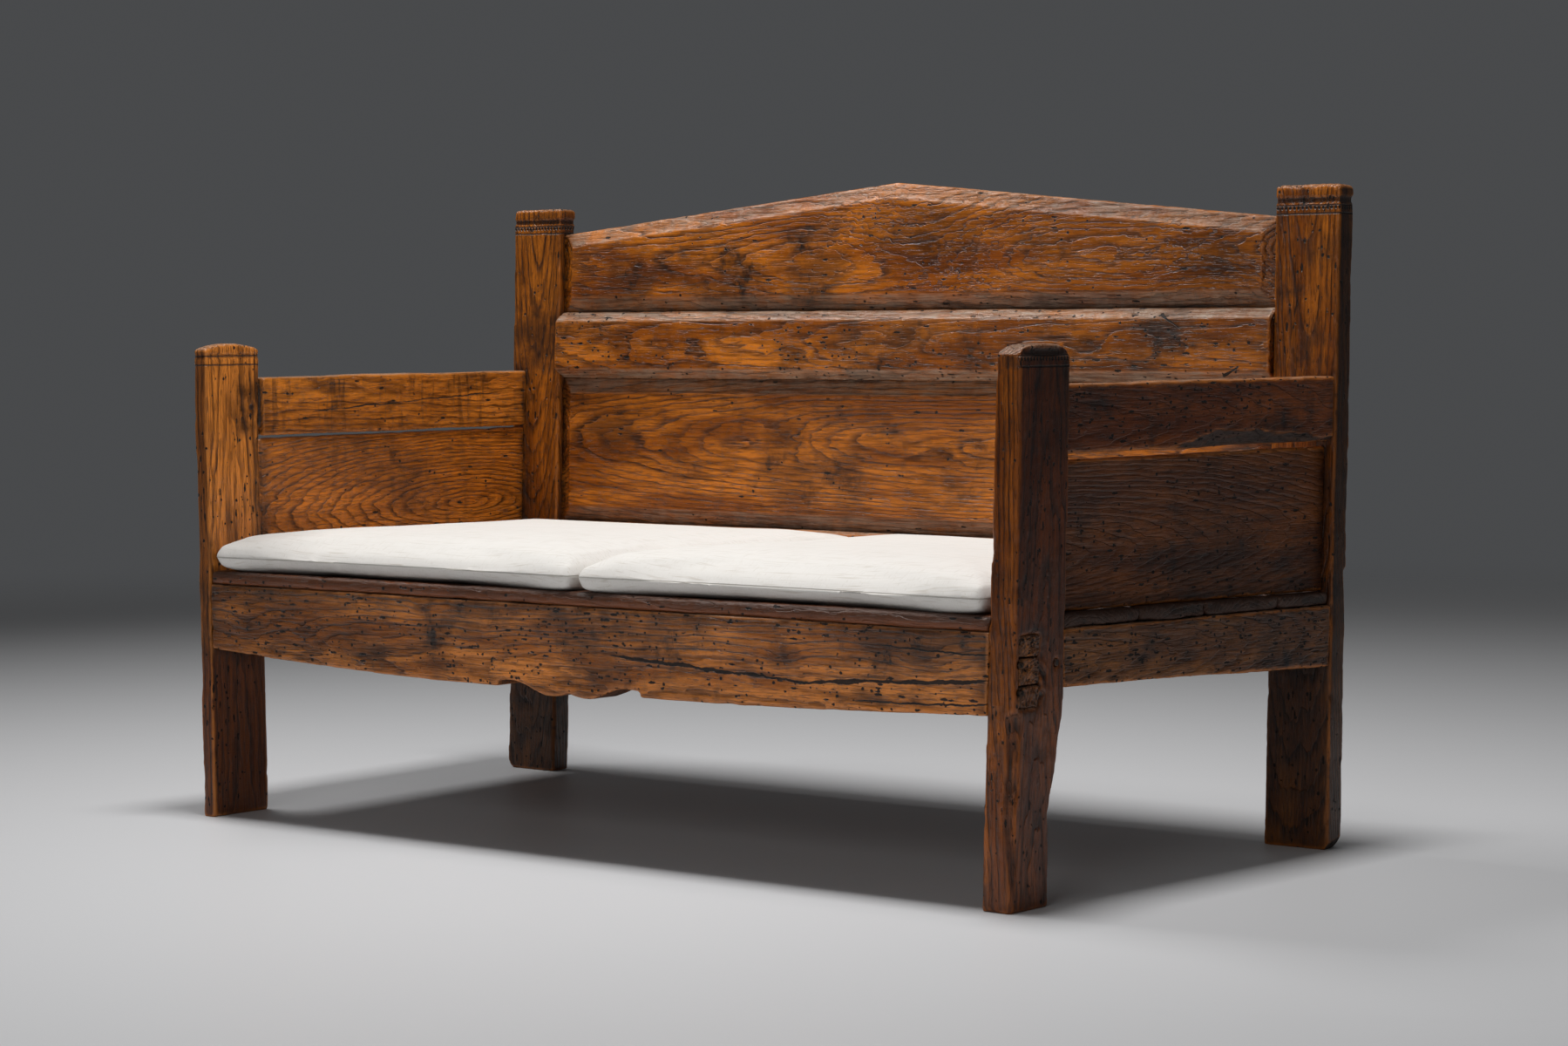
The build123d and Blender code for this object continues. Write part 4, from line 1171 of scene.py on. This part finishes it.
def sections(node):
    """Bmeshes that make up a CAD node: its middle first, then the ends that are meshed more finely."""
    solid = merged_copy(node)
    if node in JOINT_FILLS:
        low, high = (Vector(corner) for corner in JOINT_FILLS[node])
        place = Matrix.Translation((low + high) / 2) @ Matrix.Diagonal((*(high - low), 1.0))
        bmesh.ops.create_cube(solid, size=1.0, matrix=place)
    if node not in TENON_CUTS:
        return [solid]
    left, right = TENON_CUTS[node]
    left_end, rest = cut_off(solid, left, -1), cut_off(solid, left, 1)
    middle, right_end = cut_off(rest, right, -1), cut_off(rest, right, 1)
    solid.free()
    rest.free()
    return [middle, left_end, right_end]


def cut_off(solid, x, side):
    """A closed copy of what lies on one side of a plane across the bench."""
    part = solid.copy()
    geometry = part.verts[:] + part.edges[:] + part.faces[:]
    plane = {"plane_co": (x, 0, 0), "plane_no": (-side, 0, 0)}
    cut = bmesh.ops.bisect_plane(part, geom=geometry, clear_outer=True, **plane)
    edges = [found for found in cut["geom_cut"] if isinstance(found, bmesh.types.BMEdge)]
    bmesh.ops.contextual_create(part, geom=edges)
    bmesh.ops.triangulate(part, faces=part.faces)
    return part


def remeshed(node, voxel, fine_voxel):
    """A CAD node as one evenly meshed object whose points lie on the CAD surface."""
    whole = bmesh.new()
    for index, solid in enumerate(sections(node)):
        surface = BVHTree.FromBMesh(solid)
        part = linked_object(node, solid)
        voxels(part, fine_voxel if index else voxel)
        shape = Sculpt(part.data)
        shape.points = shape.evened(shape.points, 2)
        shape.points = np.array([surface.find_nearest(point)[0] for point in shape.points])
        shape.write()
        whole.from_mesh(part.data)
        mesh = part.data
        bpy.data.objects.remove(part)
        bpy.data.meshes.remove(mesh)
    piece = linked_object(f"{node}_worn", whole)
    piece.data.shade_smooth()
    return piece


def joint_share(node, points):
    """How near each point lies to another wooden piece or a pad, from 0 to 1 where they touch."""
    reach = 0.032
    others = bmesh.new()
    for other in (*WOODEN, *PADS):
        if other != node:
            others.from_mesh(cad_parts[other].data)
    surface = BVHTree.FromBMesh(others)
    others.free()
    found = (surface.find_nearest(point, reach)[3] for point in points)
    return np.array([0.0 if away is None else 1 - away / reach for away in found])


def worn_plank(node, wood, voxel, rounding, outer_sides, seed, wander):
    """Replace a CAD node by its worn copy: rubbed arrises, hewn faces and its own finish."""
    piece = remeshed(node, voxel, bpy.context.scene.bench_wear.small)
    shape = Sculpt(piece.data)
    rubbed = np.clip(0.5 + 0.6 * noise(shape.points, 0.09, seed), 0.1, 1)
    rubbed[shape.points[:, 2] > wood.get("crisp_above", 2.0)] = 0.15
    shape.points = shape.evened(shape.points, rounding, 0.5 * rubbed[:, None])
    normals = shape.normals()
    hewn = noise(shape.points, 0.17, seed + 1) + 0.45 * noise(shape.points, 0.05, seed + 2)
    hewn += 0.16 * noise(shape.points, 0.016, seed + 3)
    shape.points += normals * (wander * hewn)[:, None]
    edge = np.clip(shape.relief(10) / 0.0015, 0, 1)
    nicks = np.clip(noise(shape.points, 0.022, seed + 4) - 0.25, 0, 1)
    nicks += 0.8 * np.clip(noise(shape.points, 0.009, seed + 5) - 0.35, 0, 1)
    shape.points -= normals * (0.0022 * edge * nicks)[:, None]
    if node in WEAR:
        WEAR[node](shape)
        shape.points = shape.evened(shape.points, 1)
    shape.points[:, 2] = np.maximum(shape.points[:, 2], 0)
    # relief: the finish puts grime and painted shade in hollows, and wear and a painted highlight on arrises.
    shape.keep("relief", np.clip(shape.relief(8) / 0.0016, -1, 1))
    # joint: the finish darkens the wood near other pieces with dirt and painted shade.
    shape.keep("joint", joint_share(node, shape.points))
    shape.keep("raw_wood_and_shadow", shape.raw_wood_and_shadow)
    outer = facing(shape.normals(), outer_sides)
    # top: dust with a painted sheen on upward faces and the cap; on a panel's slopes a painted highlight
    # above and a painted reflection below.
    slope = shape.normals()[:, 2]
    if "bevelled" in wood:
        shape.keep("top", wood["bevelled"] * np.clip((np.abs(slope) - 0.18) / 0.2, 0, 1))
    else:
        pale = np.clip((shape.points[:, 2] - wood.get("pale_above", 2.0)) / 0.002, 0, 1)
        shape.keep("top", np.maximum(wood.get("dust", 1.0) * np.clip((slope - 0.45) / 0.4, 0, 1), pale))
    foot = wood.get("foot", 0.0) * np.clip((LEG_TOP - shape.points[:, 2]) / 0.12, 0, 1)
    outer = np.maximum(outer, foot) * (1 + np.minimum(foot, 0))
    shape.keep("outer", shape.evened(outer[:, None], 4)[:, 0])
    shape.write()
    finish_piece(piece, node, wood_material(node, wood, seed * 1.37))


def worn_planks(planks, voxel, rounding, wander):
    """Wear several CAD nodes: each has its wood and the sides that never were polished."""
    for seed, (node, wood, outer_sides) in planks.items():
        worn_plank(node, WOODS[wood], voxel, rounding, outer_sides, seed, wander)


LEFT, RIGHT = (-1, 0, 0), (1, 0, 0)
BEHIND, BELOW = (0, 1, 0), (0, 0, -1)
HALF_FRONT = (0, -0.62, 0)  # weathered less than the other sides

POSTS = {
    1: ("front_post_left", "front_post_left", (LEFT, BEHIND, HALF_FRONT)),
    2: ("front_post_right", "front_post_right", (RIGHT, BEHIND)),
    3: ("rear_post_left", "rear_post", (LEFT, BEHIND)),
    4: ("rear_post_right", "rear_post", (RIGHT, BEHIND)),
}
FRONT_RAIL = {11: ("front_rail", "front_rail", (BEHIND, BELOW))}
REAR_RAIL = {12: ("rear_rail", "rear_rail", (BEHIND, BELOW))}
SIDES = {
    21: ("side_rail_left", "side_rail_left", (LEFT, BELOW)),
    22: ("side_rail_right", "side_rail_right", (RIGHT, BELOW)),
    23: ("arm_rail_left", "arm_left", (LEFT,)),
    24: ("arm_rail_right", "arm_right", (RIGHT,)),
}
SIDE_PANELS = {
    25: ("side_panel_left", "side_left", (LEFT,)),
    26: ("side_panel_right", "side_right", (RIGHT,)),
}
BACK = {
    31: ("back_lower_panel", "low_panel", (BEHIND,)),
    32: ("back_mid_rail", "mid_rail", (BEHIND,)),
    33: ("back_top_panel", "top_panel", (BEHIND,)),
}
BOARDS = {
    41: ("seat_board_front", "boards", (BELOW, RIGHT, LEFT)),
    42: ("seat_board_second", "boards", (BELOW, RIGHT, LEFT)),
    43: ("seat_board_third", "boards", (BELOW, RIGHT, LEFT)),
    44: ("seat_board_rear", "boards", (BELOW, RIGHT, LEFT)),
    45: ("seat_bearer", "rear_rail", (BELOW, LEFT, RIGHT)),
}
PLANKS = (POSTS, FRONT_RAIL, REAR_RAIL, SIDES, SIDE_PANELS, BACK, BOARDS)
WOODEN = [plank[0] for group in PLANKS for plank in group.values()]
WOODEN_PEGS = ("side_rail_pegs", "arm_rail_pegs", "rear_rail_pegs", "mid_rail_pegs", "tenon_wedges")
PEG_SIDES = (LEFT, RIGHT, BEHIND)
PEG_ROUNDING = 2
PEG_WANDER = 0.0003
IRON = ("front_rail_pins", "seat_nails")
PADS = ("cushion_left", "cushion_right")


# Pads
def stuffed(piece, settings):
    """Swell a pad's cover over its filling by a cloth simulation, and put the result into its mesh."""
    scene = bpy.context.scene
    cloth = piece.modifiers.new("Stuffing", "CLOTH")
    cloth.settings.quality = 5
    cloth.settings.mass = 0.2
    cloth.settings.tension_stiffness = 12
    cloth.settings.compression_stiffness = 12
    cloth.settings.bending_stiffness = 0.3
    cloth.settings.use_pressure = True
    cloth.settings.uniform_pressure_force = settings.pressure
    cloth.settings.effector_weights.gravity = 0
    cloth.settings.vertex_group_mass = "sewn"
    cloth.settings.shrink_min = -0.02
    cloth.point_cache.frame_end = 20
    for step in range(1, 21):
        scene.frame_set(step)
    apply_modifiers(piece)
    scene.frame_set(1)


PAD_ROOM = 0.006  # how much smaller a pad starts than its solid, so that it has room to swell
PAD_OVERHANG = 0.010  # how far the front of a pad is drawn out past the boards

# Height of a pad's upper and lower side above the boards, by the distance in from its seam
PAD_INSET = (0.0, 0.002, 0.006, 0.014, 0.028, 0.050, 0.105, 0.190)
PAD_UPPER = (0.024, 0.031, 0.038, 0.045, 0.052, 0.058, 0.066, 0.070)
PAD_LOWER = (0.024, 0.010, 0.0055, 0.003, 0.0015, 0.001, 0.0006, 0.0006)

# Along the bench: how far the seam rises, and how far the front side hangs over the edge of the boards
PAD_RUN = (-0.82, -0.72, -0.55, 0.0, 0.25, 0.45, 0.65, 0.76, 0.83)
PAD_RISE = (0.006, 0.003, 0.0, 0.0, -0.003, -0.005, -0.003, 0.002, 0.007)
PAD_HANG = (0.0, 0.001, 0.004, 0.006, 0.008, 0.008, 0.007, 0.006, 0.004)


def linen_pad(node, material, seed):
    """One loose pad: stuffed, sewn round its edge, gathered at the seam and flat where it rests."""
    settings = bpy.context.scene.bench_pads
    solid = merged_copy(node)
    low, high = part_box(node)
    middle = (low + high) / 2
    factors = Vector((1 - PAD_ROOM / (high.x - low.x), 1 - PAD_ROOM / (high.y - low.y), 1.0))
    bmesh.ops.translate(solid, verts=solid.verts, vec=-middle)
    bmesh.ops.scale(solid, verts=solid.verts, vec=factors)
    bmesh.ops.translate(solid, verts=solid.verts, vec=middle)
    piece = linked_object(f"{node}_linen", solid)
    voxels(piece, settings.voxel)
    start = Sculpt(piece.data)
    sewn = pillow(start, settings)
    start.points = start.evened(start.points, 1)
    start.write()
    group = piece.vertex_groups.new(name="sewn")
    group.add([int(index) for index in sewn], 1.0, "REPLACE")
    before = start.points.copy()
    stuffed(piece, settings)
    swollen = Sculpt(piece.data)
    move = swollen.evened(swollen.points - before, 12)
    length = np.linalg.norm(move, axis=1, keepdims=True)
    swollen.points = before + move * np.minimum(1, settings.swell / np.maximum(length, 1e-9))
    swollen.write()
    divide = piece.modifiers.new("Finer cloth", "SUBSURF")
    divide.levels = 1
    divide.render_levels = 1
    apply_modifiers(piece)
    gather(piece, settings, seed)
    finish_piece(piece, node, material)


def pillow(shape, settings):
    """Round a pad's sides above and below its seam, and give back the points of the seam."""
    height = above_boards(shape.points)
    side = np.abs(shape.normals()[:, 2]) < 0.75
    sewn = np.flatnonzero(side & (np.abs(height - settings.seam_height) < 0.5 * settings.voxel))
    seam = shape.points[sewn, :2]
    inset = np.array([np.linalg.norm(seam - place, axis=1).min() for place in shape.points[:, :2]])
    upper = np.interp(inset, PAD_INSET, PAD_UPPER)
    lower = np.interp(inset, PAD_INSET, PAD_LOWER)
    above = height > settings.seam_height
    shape.points[:, 2] += np.where(above, upper, lower) - height
    rise = np.interp(shape.points[:, 0], PAD_RUN, PAD_RISE) * np.exp(-inset / 0.04)
    shape.points[:, 2] += np.where(above | (rise > 0), rise, 0)
    shape.points[:, 1] -= PAD_OVERHANG * np.exp((front_edge() - shape.points[:, 1]) / 0.03)
    hang = np.interp(shape.points[:, 0], PAD_RUN, PAD_HANG)
    beyond = np.clip((front_edge() - shape.points[:, 1]) / 0.004, 0, 1)
    shape.points[:, 2] -= np.where(above, 0.4, 1.0) * hang * beyond
    return sewn


SEAT_FALL = math.radians(0.8)


def front_edge():
    """Where the front board ends, in Y."""
    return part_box("seat_board_front")[0].y


def above_boards(points):
    """Height of points above the seat boards, which fall to the back."""
    low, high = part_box("seat_board_front")
    return (points[:, 2] - high.z) * math.cos(SEAT_FALL) + (points[:, 1] - low.y) * math.sin(SEAT_FALL)


def gather(piece, settings, seed):
    """Pucker the cover next to its seam, keep it off the boards and store its height over the seam."""
    shape = Sculpt(piece.data)
    height = above_boards(shape.points)
    normals = shape.normals()
    upright = np.clip(1.5 - 2 * np.abs(normals[:, 2]), 0, 1)
    ridge = np.clip(1 - np.abs(height - settings.seam_height) / 0.010, 0, 1) * upright
    shape.points += normals * (0.0025 * ridge)[:, None] * (1, 1, 0)
    near = np.exp(-np.abs(height - settings.seam_height) / 0.012) * np.clip(1.3 - np.abs(normals[:, 2]), 0, 1)
    pucker = noise(shape.points, (0.013, 0.013, 0.08), seed)
    pucker += 0.6 * noise(shape.points, (0.03, 0.03, 0.1), seed + 1)
    place = np.clip(0.5 + noise(shape.points, 0.12, seed + 2), 0, 1)
    shape.points += normals * (0.0014 * pucker * near * place)[:, None]
    shape.points += normals * (0.0012 * noise(shape.points, 0.11, seed + 3))[:, None]
    height = above_boards(shape.points)
    shape.points[:, 2] += np.maximum(0, 0.0006 - height) * (shape.points[:, 1] > front_edge())
    seam = above_boards(shape.points) - settings.seam_height
    shape.keep("seam", seam)
    shape.write()


# Stage
def aim(thing, target):
    """Point a lamp at a place."""
    thing.rotation_euler = (Vector(target) - thing.location).to_track_quat("-Z", "Y").to_euler()


def soft_lamp(name, place, target, width, depth, spread, power):
    """A rectangular soft lamp that shines within an angle in degrees."""
    lamp = bpy.data.lights.new(name, "AREA")
    lamp.shape = "RECTANGLE"
    lamp.size = width
    lamp.size_y = depth
    lamp.spread = math.radians(spread)
    lamp.energy = power
    made = bpy.data.objects.new(name, lamp)
    made.location = place
    bpy.context.scene.collection.objects.link(made)
    aim(made, target)


def floor_material(settings):
    """Pale floor that fades into the backdrop at its rim."""
    material, graph, shader = new_material("floor")
    shader.inputs["Base Color"].default_value = rgba(settings.floor)
    shader.inputs["Roughness"].default_value = 0.42
    away = graph.node("ShaderNodeVectorMath", {0: graph.position()}, operation="LENGTH").outputs["Value"]
    clear = graph.node("ShaderNodeBsdfTransparent").outputs[0]
    rim = graph.node("ShaderNodeMixShader", {0: graph.step(away, 4.0, 7.0), 1: shader.outputs[0], 2: clear})
    output = material.node_tree.nodes["Material Output"]
    graph.feed(output.inputs["Surface"], rim.outputs[0])
    return material


def plain_world(settings):
    """Even light all round, and a plain grey backdrop for what the camera and reflections see."""
    world = bpy.data.worlds.new("backdrop")
    world.use_nodes = True
    graph = Graph(world.node_tree)
    rays = graph.node("ShaderNodeLightPath").outputs
    seen = graph.most(rays["Is Camera Ray"], rays["Is Glossy Ray"], rays["Is Transmission Ray"])
    level = (settings.ambient, settings.ambient, settings.ambient, 1.0)
    colour = graph.mix(seen, level, rgba(settings.backdrop))
    graph.feed(world.node_tree.nodes["Background"].inputs["Color"], colour)
    bpy.context.scene.world = world


CAMERA_PLACE = (3.776, -4.5465, 0.8471)
CAMERA_ANGLES = (39.098, 3.283, -0.339)  # azimuth, elevation and roll, in degrees
CAMERA_LENS = 82.22  # millimetres, on a sensor 36 mm wide


def photo_camera():
    """The camera at the photograph's viewing angle, for an image of 1799 by 1200 pixels."""
    azimuth, elevation, roll = (math.radians(angle) for angle in CAMERA_ANGLES)
    back = Vector(
        (
            math.sin(azimuth) * math.cos(elevation),
            -math.cos(azimuth) * math.cos(elevation),
            math.sin(elevation),
        )
    )
    right = Vector((math.cos(azimuth), math.sin(azimuth), 0.0))
    up = back.cross(right)
    turned_right = right * math.cos(roll) + up * math.sin(roll)
    turned_up = up * math.cos(roll) - right * math.sin(roll)
    camera = bpy.data.cameras.new("photo_camera")
    camera.sensor_width = 36.0
    camera.lens = CAMERA_LENS
    made = bpy.data.objects.new("photo_camera", camera)
    turn = Matrix((turned_right, turned_up, back)).transposed().to_4x4()
    made.matrix_world = Matrix.Translation(CAMERA_PLACE) @ turn
    bpy.context.scene.collection.objects.link(made)
    bpy.context.scene.camera = made


# Operators
class BENCH_OT_posts(bpy.types.Operator):
    """Wear and finish the four posts"""

    bl_idname = "bench.posts"
    bl_label = "Posts"

    def execute(self, context):
        settings = context.scene.bench_wear
        worn_planks(POSTS, settings.fine, settings.rounding, settings.wander)
        return {"FINISHED"}


class BENCH_OT_long_rails(bpy.types.Operator):
    """Wear and finish the front rail and the rear rail"""

    bl_idname = "bench.long_rails"
    bl_label = "Long rails"

    def execute(self, context):
        settings = context.scene.bench_wear
        worn_planks(FRONT_RAIL, settings.fine, settings.rounding, settings.wander)
        worn_planks(REAR_RAIL, settings.coarse, settings.panel_rounding, settings.wander)
        return {"FINISHED"}


class BENCH_OT_sides(bpy.types.Operator):
    """Wear and finish the side rails, arm rails and side panels"""

    bl_idname = "bench.sides"
    bl_label = "Sides"

    def execute(self, context):
        settings = context.scene.bench_wear
        worn_planks(SIDES, settings.fine, settings.rounding, settings.wander)
        worn_planks(SIDE_PANELS, settings.fine, settings.panel_rounding, 0.5 * settings.wander)
        return {"FINISHED"}


class BENCH_OT_back(bpy.types.Operator):
    """Wear and finish the two panels of the back and the rail between them"""

    bl_idname = "bench.back"
    bl_label = "Back"

    def execute(self, context):
        settings = context.scene.bench_wear
        worn_planks(BACK, settings.fine, settings.panel_rounding, 0.5 * settings.wander)
        return {"FINISHED"}


class BENCH_OT_seat(bpy.types.Operator):
    """Wear and finish the seat boards and the bearer under them"""

    bl_idname = "bench.seat"
    bl_label = "Seat boards"

    def execute(self, context):
        settings = context.scene.bench_wear
        worn_planks(BOARDS, settings.coarse, settings.panel_rounding, settings.wander)
        return {"FINISHED"}


class BENCH_OT_fasteners(bpy.types.Operator):
    """Finish the pegs, wedges, pins and nails"""

    bl_idname = "bench.fasteners"
    bl_label = "Pegs, wedges and nails"

    def execute(self, context):
        small = context.scene.bench_wear.small
        for seed, node in enumerate(WOODEN_PEGS, 51):
            worn_plank(node, WOODS["pegs"], small, PEG_ROUNDING, PEG_SIDES, seed, PEG_WANDER)
        iron = iron_material()
        for node in IRON:
            piece = linked_object(f"{node}_forged", merged_copy(node))
            voxels(piece, small)
            shape = Sculpt(piece.data)
            shape.points = shape.evened(shape.points, 2)
            shape.points += shape.normals() * (0.0004 * noise(shape.points, 0.004, 61))[:, None]
            shape.write()
            finish_piece(piece, node, iron)
        return {"FINISHED"}


class BENCH_OT_pads(bpy.types.Operator):
    """Stuff and sew the two loose linen pads"""

    bl_idname = "bench.pads"
    bl_label = "Linen pads"

    def execute(self, context):
        material = linen_material()
        for seed, node in enumerate(PADS, 71):
            linen_pad(node, material, 10 * seed)
        return {"FINISHED"}


class BENCH_OT_stage(bpy.types.Operator):
    """Set the floor, the lamps, the backdrop and the camera"""

    bl_idname = "bench.stage"
    bl_label = "Stage"

    def execute(self, context):
        settings = context.scene.bench_stage
        disc = bmesh.new()
        bmesh.ops.create_circle(disc, cap_ends=True, segments=128, radius=8.0)
        floor = linked_object("floor", disc)
        floor.data.materials.append(floor_material(settings))
        soft_lamp("overhead", (0.35, -0.3, 6.2), (0.2, -0.3, 0.0), 1.4, 1.0, 75.0, settings.overhead)
        soft_lamp("glint", (-2.4, -0.1, 4.2), (0.0, 0.4, 0.9), 1.8, 1.2, 120.0, settings.glint)
        soft_lamp("fill", (1.8, -5.2, 2.8), (0.0, 0.2, 0.6), 3.0, 2.0, 120.0, settings.fill)
        plain_world(settings)
        photo_camera()
        context.scene.view_settings.view_transform = "Standard"
        return {"FINISHED"}


OPERATORS = (
    BENCH_OT_posts,
    BENCH_OT_long_rails,
    BENCH_OT_sides,
    BENCH_OT_back,
    BENCH_OT_seat,
    BENCH_OT_fasteners,
    BENCH_OT_pads,
    BENCH_OT_stage,
)


class BENCH_PT_parts(bpy.types.Panel):
    """Settings and steps of the bench"""

    bl_idname = "BENCH_PT_parts"
    bl_label = "Old plank bench"
    bl_space_type = "VIEW_3D"
    bl_region_type = "UI"
    bl_category = "Bench"

    def draw(self, context):
        for group in (getattr(context.scene, name) for name in SETTINGS):
            box = self.layout.box()
            for name in group.__annotations__:
                box.prop(group, name)
        for operator in OPERATORS:
            self.layout.operator(operator.bl_idname)


SETTINGS = {
    "bench_wood": BenchWood,
    "bench_wear": BenchWear,
    "bench_pads": BenchPads,
    "bench_stage": BenchStage,
}
CLASSES = (*SETTINGS.values(), *OPERATORS, BENCH_PT_parts)


def register():
    """Register the classes and give the scene its settings."""
    for kind in CLASSES:
        bpy.utils.register_class(kind)
    for name, kind in SETTINGS.items():
        setattr(bpy.types.Scene, name, PointerProperty(type=kind))


def unregister():
    """Take the settings and the classes away again."""
    for name in SETTINGS:
        delattr(bpy.types.Scene, name)
    for kind in reversed(CLASSES):
        bpy.utils.unregister_class(kind)


def main():
    """Register the classes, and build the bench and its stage."""
    register()
    bpy.ops.bench.posts()
    bpy.ops.bench.long_rails()
    bpy.ops.bench.sides()
    bpy.ops.bench.back()
    bpy.ops.bench.seat()
    bpy.ops.bench.fasteners()
    bpy.ops.bench.pads()
    bpy.ops.bench.stage()


if __name__ == "__main__":
    main()
